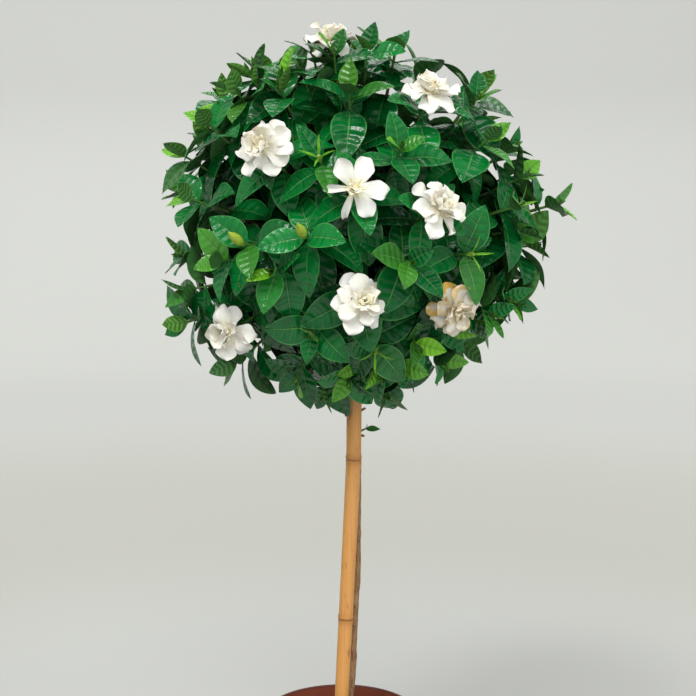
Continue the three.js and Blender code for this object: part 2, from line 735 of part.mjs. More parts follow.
/** The bamboo cane: straight between its knots, each a raised band between two fine grooves. */
function caneGeometry(extra = 0) {
  const rows = [];
  const [low, high] = [CANE.line[0][2], CANE.line.at(-1)[2]];
  const radiusAt = (z) => mixed(CANE.radius.foot, CANE.radius.head, (z - low) / (high - low));
  rows.push([low - extra, 0]);
  for (const knot of CANE.knots) {
    const half = CANE.knotBand / 2;
    rows.push([knot - half, 0], [knot - half + 1, CANE.knotRise]);
    rows.push([knot + half - 1, CANE.knotRise], [knot + half, 0]);
  }
  rows.push([high, 0]);
  const rings = rows.map(([z, rise]) => {
    const normal = atHeight(CANE.line, z + 5).sub(atHeight(CANE.line, z - 5)).normalize();
    return { centre: atHeight(CANE.line, z), normal, radius: radiusAt(z) + rise + extra };
  });
  return loft(rings, CANE.sides);
}

/** A soft band round the trunk and the cane together, hidden by the lowest leaves. */
function tieGeometry() {
  const cane = atHeight(CANE.line, TIE.level);
  const stem = atHeight(TRUNK.line, TIE.level);
  const caneRadius = CANE.radius.head + TIE.slack;
  const stemRadius = 4.9 + TIE.slack;
  const round = (path, grow) => {
    const apart = Math.hypot(stem.x - cane.x, stem.y - cane.y);
    const way = Math.atan2(stem.y - cane.y, stem.x - cane.x);
    const lean = Math.acos((caneRadius - stemRadius) / apart);
    path.absarc(cane.x, cane.y, caneRadius + grow, way + lean, way + 2 * Math.PI - lean, false);
    path.absarc(stem.x, stem.y, stemRadius + grow, way - lean, way + lean, false);
    return path;
  };
  const band = round(new THREE.Shape(), TIE.thick);
  band.holes.push(round(new THREE.Path(), 0));
  const geometry = new THREE.ExtrudeGeometry(band, { depth: TIE.height, bevelEnabled: false, curveSegments: 4 });
  return geometry.translate(0, 0, TIE.level - TIE.height / 2);
}

/** A little shoot low on the trunk, with one small leaf. */
function sproutSolid(trunk) {
  const start = atHeight(TRUNK.line, SPROUT.level);
  const way = heading([72, 28]);
  const end = start.clone().addScaledVector(way, SPROUT.reach);
  const twig = solid(loft(ringsAlong([start, end], 1.1, 0.8), 5));
  const root = end.clone().addScaledVector(way, -1.5);
  const form = {
    outline: "leaf",
    thick: 1,
    length: SPROUT.leafLength,
    width: SPROUT.leafWidth,
    arch: 0.5,
    fold: 0.1,
    twist: 0,
  };
  const frame = { root, along: heading([78, 8]), upper: heading([-100, 82]) };
  frame.upper.addScaledVector(frame.along, -frame.upper.dot(frame.along)).normalize();
  return joined([twig, solid(blade(form, frame))]).subtract(trunk);
}

/** The trunk alone, grown by the gap, to cut the holes and seats of what meets it. */
function trunkWithGap() {
  const rows = TRUNK.line.map((row) => vec(...row));
  rows[0].z -= GAP;
  return solid(loft(ringsAlong(rows, TRUNK.radius.foot + GAP, TRUNK.radius.head + GAP), TRUNK.sides));
}

// ---- putting it together ----

const finish = (color, roughness) => new THREE.MeshStandardMaterial({ color, roughness, metalness: 0 });
const FINISHES = {
  terracotta: finish(0x8a4526, 0.6),
  compost: finish(0x2c2019, 0.95),
  bamboo: finish(0xd29b54, 0.5),
  bark: finish(0x6f5436, 0.85),
  leaf: finish(0x0c6a2c, 0.3),
  petal: finish(0xf4f1e6, 0.6),
  twine: finish(0x2f3a24, 0.8),
};

function potted() {
  const group = new THREE.Group();
  const add = (name, shape, material) => group.add(piece(name, shape, material));
  const number = (k) => String(k).padStart(2, "0");

  const sprays = crownPlan();
  const wood = woodSolid(sprays);
  const cane = solid(caneGeometry());
  const tie = solid(tieGeometry());
  const sprout = sproutSolid(trunkWithGap());

  add("pot", potSolid(), FINISHES.terracotta);
  add("soil", soilSolid(trunkWithGap(), solid(caneGeometry(GAP))), FINISHES.compost);
  add("cane", cane, FINISHES.bamboo);
  add("wood", wood, FINISHES.bark);
  add("tie", tie, FINISHES.twine);
  add("trunk_sprout", sprout, FINISHES.leaf);

  const neighbours = new Neighbours();
  [wood, cane, tie, sprout].forEach((made) => neighbours.add(made, "frame"));
  sprays.forEach((spray, owner) => {
    spray.solids = stems(spray);
    spray.solids.forEach((made) => neighbours.add(made, owner, true));
  });
  let blooms = 0;
  sprays
    .flatMap((spray) => spray.shoots)
    .filter((stem) => stem.faces)
    .forEach((stem) => {
      const made = bloom(stem);
      neighbours.add(made, "bloom");
      add(`bloom_${number((blooms += 1))}`, made, FINISHES.petal);
    });
  // The outermost leaves take their places first, over the whole crown, then the next pair down.
  PAIRS.forEach((_, pairIndex) =>
    sprays.forEach((spray, owner) =>
      spray.shoots.forEach((stem) => {
        if (pairIndex === 0 && stem.ends !== "leaves") return;
        [0, 1].forEach((side) => addLeaf(spray, owner, stem, pairIndex, side, neighbours));
      }),
    ),
  );
  sprays.forEach((spray, k) => add(`spray_${number(k + 1)}`, fused(spray.solids), FINISHES.leaf));
  return group;
}

export default potted();
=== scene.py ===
"""The looks of a potted gardenia: a round head of glossy leaves and white blooms on a bare stem and a cane."""

import logging
import math
from dataclasses import dataclass, field
from enum import Enum
from typing import Any, Callable, ClassVar, Iterable, Optional, Sequence, Union

import bmesh
import bpy
import numpy as np
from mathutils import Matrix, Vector, kdtree, noise
from mathutils.bvhtree import BVHTree


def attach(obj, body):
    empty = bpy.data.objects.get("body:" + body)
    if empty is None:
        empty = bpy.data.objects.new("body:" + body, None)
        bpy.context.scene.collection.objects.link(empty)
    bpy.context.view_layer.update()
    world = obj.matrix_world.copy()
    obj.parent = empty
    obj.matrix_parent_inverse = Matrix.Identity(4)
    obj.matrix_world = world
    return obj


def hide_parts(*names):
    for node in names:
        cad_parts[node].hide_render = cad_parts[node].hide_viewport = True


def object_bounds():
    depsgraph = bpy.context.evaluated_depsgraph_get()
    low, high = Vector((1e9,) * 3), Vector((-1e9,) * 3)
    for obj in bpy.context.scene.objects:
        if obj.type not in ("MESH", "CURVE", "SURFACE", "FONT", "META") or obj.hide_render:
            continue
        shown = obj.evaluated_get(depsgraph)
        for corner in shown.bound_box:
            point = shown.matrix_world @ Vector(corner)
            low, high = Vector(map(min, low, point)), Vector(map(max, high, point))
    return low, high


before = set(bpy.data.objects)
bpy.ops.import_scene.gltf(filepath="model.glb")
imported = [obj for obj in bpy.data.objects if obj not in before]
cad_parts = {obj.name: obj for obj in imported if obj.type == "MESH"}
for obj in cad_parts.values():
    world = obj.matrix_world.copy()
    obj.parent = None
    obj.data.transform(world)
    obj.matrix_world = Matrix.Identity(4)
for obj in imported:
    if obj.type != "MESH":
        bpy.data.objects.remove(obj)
CAD_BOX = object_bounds()

log = logging.getLogger("gardenia")
UP = Vector((0.0, 0.0, 1.0))
MM = 0.001
# Steps of the golden section, which spread places evenly: as a share of one, and in degrees.
GOLDEN_SHARE, GOLDEN_TURN = 0.618034, 222.4922
# How far from level a blade may lie and still turn all the way to the light, in radians.
MOST_TO_LIGHT = 1.2


# ---- small tools ----


def mixed(low: float, high: float, share: float) -> float:
    """Returns the number at a share of the way from low to high."""
    return low + (high - low) * share


def hill(at: float, middle: float, width: float) -> float:
    """Returns the height at a place of a smooth hill that is 1 at its middle."""
    return math.exp(-(((at - middle) / width) ** 2))


def radians(*degrees: float) -> tuple[float, ...]:
    """Returns angles in radians."""
    return tuple(math.radians(value) for value in degrees)


def srgb(red: float, green: float, blue: float) -> tuple[float, float, float, float]:
    """Returns a colour given in 0 to 255 as the linear values that a socket takes.

    Args:
        red, green, blue: The colour as it looks on a screen.
    """

    def linear(value: float) -> float:
        """Returns one channel in linear light."""
        share = value / 255
        return share / 12.92 if share <= 0.04045 else ((share + 0.055) / 1.055) ** 2.4

    return (linear(red), linear(green), linear(blue), 1.0)


class Draws:
    """Seeded numbers from 0 to 1, the same list for the same seed."""

    def __init__(self, seed: int) -> None:
        """Starts the list of a seed."""
        self.state = (seed * 2654435761) & 0xFFFFFFFF
        self.next()
        self.next()

    def next(self) -> float:
        """Returns the next number."""
        self.state = (self.state * 1664525 + 1013904223) & 0xFFFFFFFF
        return self.state / 2**32

    def between(self, low: float, high: float) -> float:
        """Returns the next number, brought between low and high."""
        return mixed(low, high, self.next())


def heading(longitude: float, latitude: float) -> Vector:
    """Returns the unit vector at a longitude from the front and a latitude, in degrees."""
    lon, lat = radians(longitude, latitude)
    return Vector((math.cos(lat) * math.sin(lon), -math.cos(lat) * math.cos(lon), math.sin(lat)))


def sides_of(axis: Vector) -> tuple[Vector, Vector]:
    """Finds two unit vectors square to an axis.

    Args:
        axis: A unit vector.

    Returns:
        The one level to its right, and the one up across it.
    """
    right = (Vector((1, 0, 0)) if abs(axis.z) > 0.97 else UP.cross(axis)).normalized()
    across = axis.cross(right).normalized()
    return across.cross(axis).normalized(), across


def at_height(line: Sequence[Sequence[float]], z: float) -> Vector:
    """Finds the point of a line of rows at a height.

    Args:
        line: Rows of x, y, z, from the lowest up.
        z: The height.

    Returns:
        The point, on the line or straight on from its ends.
    """
    low = min(max(sum(row[2] <= z for row in line) - 1, 0), len(line) - 2)
    below, above = Vector(line[low]), Vector(line[low + 1])
    share = (z - below.z) / (above.z - below.z)
    return Vector((mixed(below.x, above.x, share), mixed(below.y, above.y, share), z))


def mesh_object(name: str, points: Sequence, faces: Sequence = (), edges: Sequence = ()) -> bpy.types.Object:
    """Makes a linked object from points, faces and edges, smooth shaded.

    Args:
        name: The object's name.
        points, faces, edges: As from_pydata takes them, in metres.

    Returns:
        The object.
    """
    mesh = bpy.data.meshes.new(name)
    mesh.from_pydata([tuple(p) for p in points], edges, faces, shade_flat=False)
    made = bpy.data.objects.new(name, mesh)
    bpy.context.scene.collection.objects.link(made)
    return made


def turned(profile: Sequence[tuple[float, float]], sides: int, flipped: bool = False) -> tuple[list, list]:
    """Turns a section round the upright axis.

    Args:
        profile: Its radii and heights. A radius of 0 makes a single point.
        sides: How many sides the turned shape has.
        flipped: Whether its faces look the other way.

    Returns:
        The points, ring by ring, and the faces between the rings.
    """
    points, rings, faces = [], [], []
    for radius, z in profile:
        rings.append(range(len(points), len(points) + (sides if radius else 1)))
        for k in range(len(rings[-1])):
            turn = math.tau * k / sides
            points.append((radius * math.cos(turn), radius * math.sin(turn), z))
    for low, high in zip(rings, rings[1:]):
        for k in range(sides):
            a, b, c, d = (ring[j % len(ring)] for ring, j in ((low, k), (high, k), (high, k + 1), (low, k + 1)))
            faces.append(tuple(dict.fromkeys((a, d, c, b) if flipped else (a, b, c, d))))
    return points, faces


def put(mesh: bpy.types.Mesh, name: str, values: Sequence) -> None:
    """Stores a number or a vector for each point of a mesh.

    Args:
        mesh: The mesh.
        name: The attribute's name.
        values: One value for each point.
    """
    array = np.array(values, np.float32)
    kind, key = ("FLOAT", "value") if array.ndim == 1 else ("FLOAT_VECTOR", "vector")
    mesh.attributes.new(name, kind, "POINT").data.foreach_set(key, array.ravel())


def apply_all(made: bpy.types.Object) -> None:
    """Turns an object's modifiers into its plain mesh, and removes them."""
    bpy.context.view_layer.update()
    graph = bpy.context.evaluated_depsgraph_get()
    baked = bpy.data.meshes.new_from_object(made.evaluated_get(graph))
    made.modifiers.clear()
    old, made.data = made.data, baked
    name = old.name
    bpy.data.meshes.remove(old)
    baked.name = name


def hand_over(made: bpy.types.Object, slot: str, *nodes: str) -> None:
    """Gives a finished piece its body, and hides the solids that it stands for.

    Args:
        made: The piece.
        slot: Not used.
        nodes: The solids' names.
    """
    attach(made, "root")
    if nodes:
        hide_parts(*nodes)
    log.info("%s: %d faces", made.name, len(made.data.polygons))


# ---- node trees ----


def joined_by(operation: str, swapped: bool = False) -> Callable[["Wire", Any], "Wire"]:
    """Makes the method of a wire that joins it and another value by one operation.

    Args:
        operation: The Math node's operation.
        swapped: Whether the other value comes first.

    Returns:
        The method.
    """

    def method(wire: "Wire", other: Any) -> "Wire":
        """Joins a wire and a wire, a number or a vector.

        Args:
            wire: The wire.
            other: The other value.

        Returns:
            The result.
        """
        pair = (other, wire) if swapped else (wire, other)
        vectors = [isinstance(one, (Vector, tuple)) or isinstance(one, Wire) and one.is_vector for one in pair]
        if not any(vectors):
            return wire.graph.node("ShaderNodeMath", {0: pair[0], 1: pair[1]}, operation=operation)
        if operation == "MULTIPLY" and not all(vectors):
            vector, scale = pair if vectors[0] else pair[::-1]
            return wire.graph.node("ShaderNodeVectorMath", {0: vector, "Scale": scale}, operation="SCALE")
        return wire.graph.node("ShaderNodeVectorMath", {0: pair[0], 1: pair[1]}, operation=operation)

    return method


class Wire:
    """An output socket of a node tree that can be used in sums."""

    def __init__(self, graph: "Graph", socket: bpy.types.NodeSocket) -> None:
        """Wraps a socket of a graph."""
        self.graph, self.socket = graph, socket

    @property
    def is_vector(self) -> bool:
        """Whether the socket carries three numbers."""
        return self.socket.type in ("VECTOR", "RGBA")

    __add__, __radd__ = joined_by("ADD"), joined_by("ADD", True)
    __sub__, __rsub__ = joined_by("SUBTRACT"), joined_by("SUBTRACT", True)
    __mul__, __truediv__, cross = joined_by("MULTIPLY"), joined_by("DIVIDE"), joined_by("CROSS_PRODUCT")

    def math(self, operation: str) -> "Wire":
        """Returns the result of a Math operation on this wire alone."""
        return self.graph.node("ShaderNodeMath", {0: self}, operation=operation)

    @property
    def parts(self) -> tuple["Wire", "Wire", "Wire"]:
        """The three numbers of a vector, each as a wire."""
        first = self.graph.node("ShaderNodeSeparateXYZ", {0: self})
        return tuple(Wire(self.graph, socket) for socket in first.socket.node.outputs)

    def ramp(self, low: float, high: float, to_low: float = 0.0, to_high: float = 1.0) -> "Wire":
        """Brings the wire from one range softly into another, and holds it there.

        Args:
            low, high: The range it is read over.
            to_low, to_high: What its two ends become.

        Returns:
            The result.
        """
        values = {"Value": self, "From Min": low, "From Max": high, "To Min": to_low, "To Max": to_high}
        return self.graph.node("ShaderNodeMapRange", values, interpolation_type="SMOOTHSTEP")


class Graph:
    """A node tree that is being written."""

    def __init__(self, tree: bpy.types.NodeTree) -> None:
        """Starts on a tree."""
        self.tree = tree

    def node(self, kind: str, inputs: dict, output: Union[int, str] = 0, **settings: Any) -> Wire:
        """Adds a node.

        Args:
            kind: The node's type.
            inputs: Values or wires by the socket's identifier, name or number.
            output: Which output to return.
            settings: The node's own properties.

        Returns:
            That output.
        """
        made = self.tree.nodes.new(kind)
        for key, value in settings.items():
            setattr(made, key, value)
        for key, value in inputs.items():
            found = [s for s in made.inputs if s.identifier == key] or [made.inputs[key]]
            if isinstance(value, Wire):
                self.tree.links.new(value.socket, found[0])
            else:
                found[0].default_value = value
        return Wire(self, made.outputs[output])

    def layers(self, colour: Any, *coats: tuple[Wire, Any]) -> Wire:
        """Lays colours over each other.

        Args:
            colour: The lowest.
            coats: How much each further colour covers what is under it, and that colour.

        Returns:
            The mixed colour.
        """
        for share, coat in coats:
            values = {"Factor_Float": share, "A_Color": colour, "B_Color": coat}
            colour = self.node("ShaderNodeMix", values, 2, data_type="RGBA")
        return colour

    def stored(self, name: str, kind: str = "FLOAT_VECTOR") -> Wire:
        """Reads an attribute in a geometry tree."""
        return self.node("GeometryNodeInputNamedAttribute", {"Name": name}, data_type=kind)

    def painted(self, name: str) -> Wire:
        """Reads a vector attribute in a material."""
        return self.node("ShaderNodeAttribute", {}, "Vector", attribute_name=name)

    def place(self) -> Wire:
        """Returns the place on the object, in metres."""
        return self.node("ShaderNodeTexCoord", {}, "Object")

    def noise(self, place: Wire, scale: float, detail: float = 2.0, rough: float = 0.5) -> Wire:
        """Adds a noise pattern.

        Args:
            place: Where it is read.
            scale: How many waves a metre.
            detail, rough: Its finer parts.

        Returns:
            Its value, around a half.
        """
        values = {"Vector": place, "Scale": scale, "Detail": detail, "Roughness": rough}
        return self.node("ShaderNodeTexNoise", values)

    def bump(self, height: Wire, distance: float, strength: float = 1.0) -> Wire:
        """Adds a bump.

        Args:
            height: The pattern.
            distance: How deep it is, in metres.
            strength: How much of it shows.

        Returns:
            The bent normal.
        """
        return self.node("ShaderNodeBump", {"Height": height, "Distance": distance, "Strength": strength})


class GeometryGraph(Graph):
    """A geometry node tree with named inputs, used as a modifier."""

    def __init__(self, name: str, inputs: dict[str, str]) -> None:
        """Makes the tree.

        Args:
            name: The tree's name.
            inputs: The kind of each input, as its socket's type ends, by its name.
        """
        super().__init__(bpy.data.node_groups.new(name, "GeometryNodeTree"))
        self.keys: dict[str, str] = {}
        for label, kind in {"Geometry": "Geometry", **inputs}.items():
            made = self.tree.interface.new_socket(label, in_out="INPUT", socket_type="NodeSocket" + kind)
            self.keys[label] = made.identifier
        self.tree.interface.new_socket("Geometry", in_out="OUTPUT", socket_type="NodeSocketGeometry")
        self.source = self.tree.nodes.new("NodeGroupInput")

    def given(self, name: str) -> Wire:
        """Returns one of the tree's inputs."""
        return Wire(self, self.source.outputs[name])

    def shape_of(self, name: str) -> Wire:
        """Returns the geometry of the object given as an input."""
        return self.node("GeometryNodeObjectInfo", {"Object": self.given(name)}, "Geometry")

    def end(self, geometry: Wire) -> None:
        """Ends the tree in one geometry, all of it real."""
        whole = self.node("GeometryNodeRealizeInstances", {"Geometry": geometry})
        out = self.tree.nodes.new("NodeGroupOutput")
        self.tree.links.new(whole.socket, out.inputs[0])

    def join(self, *parts: Wire) -> Wire:
        """Returns several geometries as one."""
        made = self.tree.nodes.new("GeometryNodeJoinGeometry")
        for part in parts:
            self.tree.links.new(part.socket, made.inputs[0])
        return Wire(self, made.outputs[0])

    def tubes(self, line: Wire) -> Wire:
        """Returns capped tubes along curves, as thick as their points say, with the given number of sides."""
        ring = self.node("GeometryNodeCurvePrimitiveCircle", {"Resolution": self.given("Sides"), "Radius": 1.0})
        values = {"Curve": line, "Profile Curve": ring, "Scale": self.stored("thick", "FLOAT"), "Fill Caps": True}
        return self.node("GeometryNodeCurveToMesh", values)

    def dressed(self, geometry: Wire, finish: str) -> Wire:
        """Returns a geometry with the material of one of the tree's inputs."""
        return self.node("GeometryNodeSetMaterial", {"Geometry": geometry, "Material": self.given(finish)})

    def run(self, made: bpy.types.Object, **values: Any) -> bpy.types.Object:
        """Runs the tree on an object and keeps the result as its plain mesh.

        Args:
            made: The object.
            values: The inputs, by name, with _ for a space.

        Returns:
            The same object.
        """
        modifier = made.modifiers.new(self.tree.name, "NODES")
        modifier.node_group = self.tree
        for label, value in values.items():
            modifier[self.keys[label.replace("_", " ")]] = value
        apply_all(made)
        return made


# ---- finishes ----


@dataclass(frozen=True)
class Finish:
    """A material and how it is made."""

    name: str

    def made(self) -> bpy.types.Material:
        """Makes the material, or returns it if it was made before."""
        found = bpy.data.materials.get(self.name)
        if found:
            return found
        material = bpy.data.materials.new(self.name)
        material.use_nodes = True
        graph = Graph(material.node_tree)
        shader = next(n for n in graph.tree.nodes if n.type == "BSDF_PRINCIPLED")
        for key, value in self.surface(graph).items():
            if isinstance(value, Wire):
                graph.tree.links.new(value.socket, shader.inputs[key])
            else:
                shader.inputs[key].default_value = value
        return material

    def surface(self, graph: Graph) -> dict[str, Any]:
        """Returns what goes into the shader, by socket."""
        raise NotImplementedError


@dataclass(frozen=True)
class LeafFinish(Finish):
    """Glossy leaf: pale midrib and margins, quilted between its side veins, paler and duller underneath, and darkened
    by painted shade the further into the head it sits.
    """

    dark: tuple = srgb(0, 78, 32)
    bright: tuple = srgb(2, 132, 52)
    young: tuple = srgb(118, 190, 36)
    rib: tuple = srgb(112, 184, 96)
    under: tuple = srgb(92, 140, 74)
    # Painted shade: the near-black green that leaves further into the head are darkened towards.
    painted_shade_green: tuple = srgb(0, 46, 22)

    def surface(self, graph: Graph) -> dict[str, Any]:
        """Returns what goes into the shader, by socket."""
        along, across, face = graph.painted("spot").parts
        row, _, _ = graph.painted("rib").parts
        tint, age, shade = graph.painted("look").parts
        place = graph.place()
        off = across.math("ABSOLUTE")
        quilt = (row * math.pi).math("COSINE") * off.ramp(0.95, 0.7)
        midrib = off.ramp(0.085, 0.03)
        margin = off.ramp(0.9, 0.97)
        patches = graph.noise(place, 70, 3)
        fine = graph.noise(place, 900, 2)
        below = face.ramp(-0.02, -0.12)
        colour = graph.layers(
            self.dark,
            (tint * 0.75 + (patches - 0.4) * 0.9, self.bright),
            (quilt.ramp(0.8, 1.0) * 0.06, self.rib),
            (margin * 0.34, self.rib),
            (age, self.young),
            (midrib * 0.36, self.rib),
            (below * 0.62, self.under),
            # Painted shade: leaves further in are darkened towards near-black green.
            (shade, self.painted_shade_green),
        )
        height = fine * 0.06 + patches * 0.6 - quilt * 0.24 - midrib * 0.6 + off.ramp(0.0, 0.5) * 0.3
        rough = 0.1 + patches * 0.18 + below * 0.34 + age * 0.08
        return {
            "Base Color": colour,
            "Roughness": rough,
            "Normal": graph.bump(height, 0.0017, 0.9),
            "Specular IOR Level": 0.5,
            "IOR": 1.5,
        }


@dataclass(frozen=True)
class TwigFinish(Finish):
    """Green to woody stems, buds and calyxes, by the tone that is painted along them."""

    wood: tuple = srgb(96, 74, 44)
    green: tuple = srgb(60, 118, 40)
    bud: tuple = srgb(168, 196, 62)
    cream: tuple = srgb(240, 226, 164)

    def surface(self, graph: Graph) -> dict[str, Any]:
        """Returns what goes into the shader, by socket."""
        tone, cream, _ = graph.painted("tone").parts
        grain = graph.noise(graph.place(), 420, 3)
        colour = graph.layers(
            self.wood,
            (tone.ramp(0.0, 0.5), self.green),
            (tone.ramp(0.5, 1.0), self.bud),
            ((grain - 0.45) * 1.2, self.wood),
            (cream, self.cream),
        )
        return {
            "Base Color": colour,
            "Roughness": 0.42 + grain * 0.2,
            "Normal": graph.bump(grain, 0.0006, 0.7),
        }


@dataclass(frozen=True)
class PetalFinish(Finish):
    """Thick waxy white petals, creamy towards the throat, browning where the bloom is fading."""

    white: tuple = srgb(246, 243, 235)
    cream: tuple = srgb(247, 238, 196)
    faded: tuple = srgb(212, 172, 80)
    heart: tuple = srgb(226, 206, 120)

    def surface(self, graph: Graph) -> dict[str, Any]:
        """Returns what goes into the shader, by socket."""
        along, across, _ = graph.painted("spot").parts
        cream, fade, heart = graph.painted("look").parts
        off = across.math("ABSOLUTE")
        lines = (across * 19.0).math("COSINE") * 0.5 + 0.5
        patches = graph.noise(graph.place(), 130, 3)
        worn = (patches + off * 0.25 + along * 0.3).ramp(0.62, 1.0) * fade * 1.6
        colour = graph.layers(
            self.white,
            (along.ramp(0.62, 0.05) * (cream * 0.7 + 0.3), self.cream),
            (cream * 0.55, self.cream),
            (worn + fade * 0.12, self.faded),
            (heart, self.heart),
        )
        height = lines * 0.35 * along.ramp(1.0, 0.2) + patches * 0.4
        return {
            "Base Color": colour,
            "Roughness": 0.48 + patches * 0.12,
            "Normal": graph.bump(height, 0.0007, 0.5),
            "Specular IOR Level": 0.35,
            "Subsurface Weight": 0.12,
            "Subsurface Scale": 0.004,
        }


@dataclass(frozen=True)
class BarkFinish(Finish):
    """Thin grey-brown bark with fine lengthwise cracks and pale flecks."""

    brown: tuple = srgb(138, 97, 55)
    crack: tuple = srgb(78, 54, 32)
    pale: tuple = srgb(186, 160, 122)

    def surface(self, graph: Graph) -> dict[str, Any]:
        """Returns what goes into the shader, by socket."""
        place = graph.place()
        streaks = graph.noise(place * (1.0, 1.0, 0.16), 620, 4, 0.62)
        patches = graph.noise(place, 55, 3)
        flecks = graph.node("ShaderNodeTexVoronoi", {"Vector": place * (1.0, 1.0, 0.45), "Scale": 330.0}, 0)
        crack = streaks.ramp(0.50, 0.36)
        spot = flecks.ramp(0.26, 0.10)
        coats = (((patches - 0.3) * 1.3, self.pale), (crack * 0.75, self.crack), (spot * 0.6, self.pale))
        height = streaks + spot * 0.4 + patches * 0.5
        return {
            "Base Color": graph.layers(self.brown, *coats),
            "Roughness": 0.72 + streaks * 0.2,
            "Normal": graph.bump(height, 0.0016, 0.9),
        }


@dataclass(frozen=True)
class BambooFinish(Finish):
    """Dry bamboo: warm straw with fine lengthwise fibres and brown marks, browner round the knots."""

    straw: tuple = srgb(204, 140, 66)
    pale: tuple = srgb(220, 163, 90)
    streak: tuple = srgb(162, 102, 44)
    ring: tuple = srgb(120, 74, 34)

    def surface(self, graph: Graph) -> dict[str, Any]:
        """Returns what goes into the shader, by socket."""
        ring, edge, _ = graph.painted("tone").parts
        place = graph.place()
        fibres = graph.noise(place * (1.0, 1.0, 0.014), 900, 3, 0.6)
        broad = graph.noise(place * (1.0, 1.0, 0.10), 120, 3)
        stains = graph.noise(place, 38, 3, 0.6)
        marks = graph.noise(place * (1.0, 1.0, 0.22), 110, 2)
        colour = graph.layers(
            self.straw,
            (broad, self.pale),
            (fibres.ramp(0.52, 0.72) * 0.55, self.streak),
            (stains.ramp(0.58, 0.78) * 0.45, self.streak),
            (marks.ramp(0.66, 0.74) * 0.7, self.ring),
            (ring * 0.6, self.streak),
            (edge * 0.9, self.ring),
        )
        return {
            "Base Color": colour,
            "Roughness": 0.36 + stains * 0.2 + ring * 0.15,
            "Normal": graph.bump(fibres, 0.0004, 0.6),
            "Coat Weight": 0.12,
            "Coat Roughness": 0.3,
        }


@dataclass(frozen=True)
class TerracottaFinish(Finish):
    """Thin terracotta-coloured pot: clouded, with faint moulding lines, scuffs, and painted shade darkening the top
    of its lip.
    """

    body: tuple = srgb(122, 52, 22)
    # Darker clouds of the pot's own colour, and the painted shade along its lip.
    dark: tuple = srgb(66, 27, 12)
    scuff: tuple = srgb(168, 104, 70)
    # Painted shade along the top of the rolled lip: where it ends at the top and how far down it reaches, in metres.
    shaded_lip_top: float = 0.1492
    shaded_lip_depth: float = 0.0022

    def surface(self, graph: Graph) -> dict[str, Any]:
        """Returns what goes into the shader, by socket."""
        place = graph.place()
        _, _, z = place.parts
        clouds = graph.noise(place, 26, 4, 0.6)
        grain = graph.noise(place, 1500, 2)
        lines = graph.noise(place * (0.05, 0.05, 1.0), 700, 2)
        scuffs = graph.noise(place * (1.0, 1.0, 2.6), 90, 5, 0.7)
        colour = graph.layers(
            self.body,
            ((clouds - 0.3) * 1.1, self.dark),
            (scuffs.ramp(0.62, 0.74) * 0.5, self.scuff),
            # Painted shade darkening the top of the lip.
            (z.ramp(self.shaded_lip_top - self.shaded_lip_depth, self.shaded_lip_top) * 0.75, self.dark),
        )
        return {
            "Base Color": colour,
            "Roughness": 0.5 + clouds * 0.2,
            "Normal": graph.bump(grain * 0.4 + lines * 0.7, 0.0005, 0.6),
        }


@dataclass(frozen=True)
class CompostFinish(Finish):
    """Damp dark compost with some paler fibres."""

    damp: tuple = srgb(38, 25, 17)
    dry: tuple = srgb(84, 60, 42)

    def surface(self, graph: Graph) -> dict[str, Any]:
        """Returns what goes into the shader, by socket."""
        place = graph.place()
        lumps = graph.noise(place, 160, 5, 0.7)
        bits = graph.noise(place * (1.0, 3.0, 1.0), 520, 3, 0.6)
        coats = ((lumps.ramp(0.4, 0.7), self.dry), (bits.ramp(0.62, 0.7) * 0.5, self.dry))
        return {
            "Base Color": graph.layers(self.damp, *coats),
            "Roughness": 0.86 + lumps * 0.12,
            "Normal": graph.bump(lumps + bits * 0.5, 0.002, 1.0),
        }


@dataclass(frozen=True)
class BandFinish(Finish):
    """Soft dark green plastic tie with fine ribs along it."""

    green: tuple = srgb(44, 66, 38)
    worn: tuple = srgb(88, 106, 74)

    def surface(self, graph: Graph) -> dict[str, Any]:
        """Returns what goes into the shader, by socket."""
        place = graph.place()
        _, _, z = place.parts
        wear = graph.noise(place, 400, 4, 0.6)
        ribs = (z * 7000.0).math("SINE")
        return {
            "Base Color": graph.layers(self.green, (wear.ramp(0.5, 0.75), self.worn)),
            "Roughness": 0.5 + wear * 0.2,
            "Normal": graph.bump(ribs, 0.0002, 0.5),
        }


@dataclass(frozen=True)
class PaperFinish(Finish):
    """Plain pale studio paper, with a ring of painted shade on the floor behind the pot, a little darker and warmer.
    """

    near: tuple = srgb(184, 185, 180)
    # Painted shade: the darker, warmer ring on the floor round the pot.
    turn: tuple = srgb(178, 178, 169)
    far: tuple = srgb(199, 200, 195)

    def surface(self, graph: Graph) -> dict[str, Any]:
        """Returns what goes into the shader, by socket."""
        place = graph.place()
        _, _, z = place.parts
        reach = graph.node("ShaderNodeVectorMath", {0: place * (1.0, 1.0, 0.0)}, "Value", operation="LENGTH")
        # Painted shade: the ring from 0.7 to 2.6 metres out on the floor.
        coats = ((reach.ramp(0.7, 1.3), self.turn), (reach.ramp(1.6, 2.6), self.near), (z.ramp(0.0, 1.1), self.far))
        return {"Base Color": graph.layers(self.near, *coats), "Roughness": 0.95, "Specular IOR Level": 0.1}


LEAF, TWIG, PETAL = LeafFinish("glossy_leaf"), TwigFinish("green_twig"), PetalFinish("waxy_petal")
BARK, BAMBOO, TERRACOTTA = BarkFinish("thin_bark"), BambooFinish("dry_bamboo"), TerracottaFinish("pot_wall")
COMPOST, BAND, PAPER = CompostFinish("damp_compost"), BandFinish("soft_band"), PaperFinish("pale_paper")


# ---- blades and twigs, and the trees that grow them ----


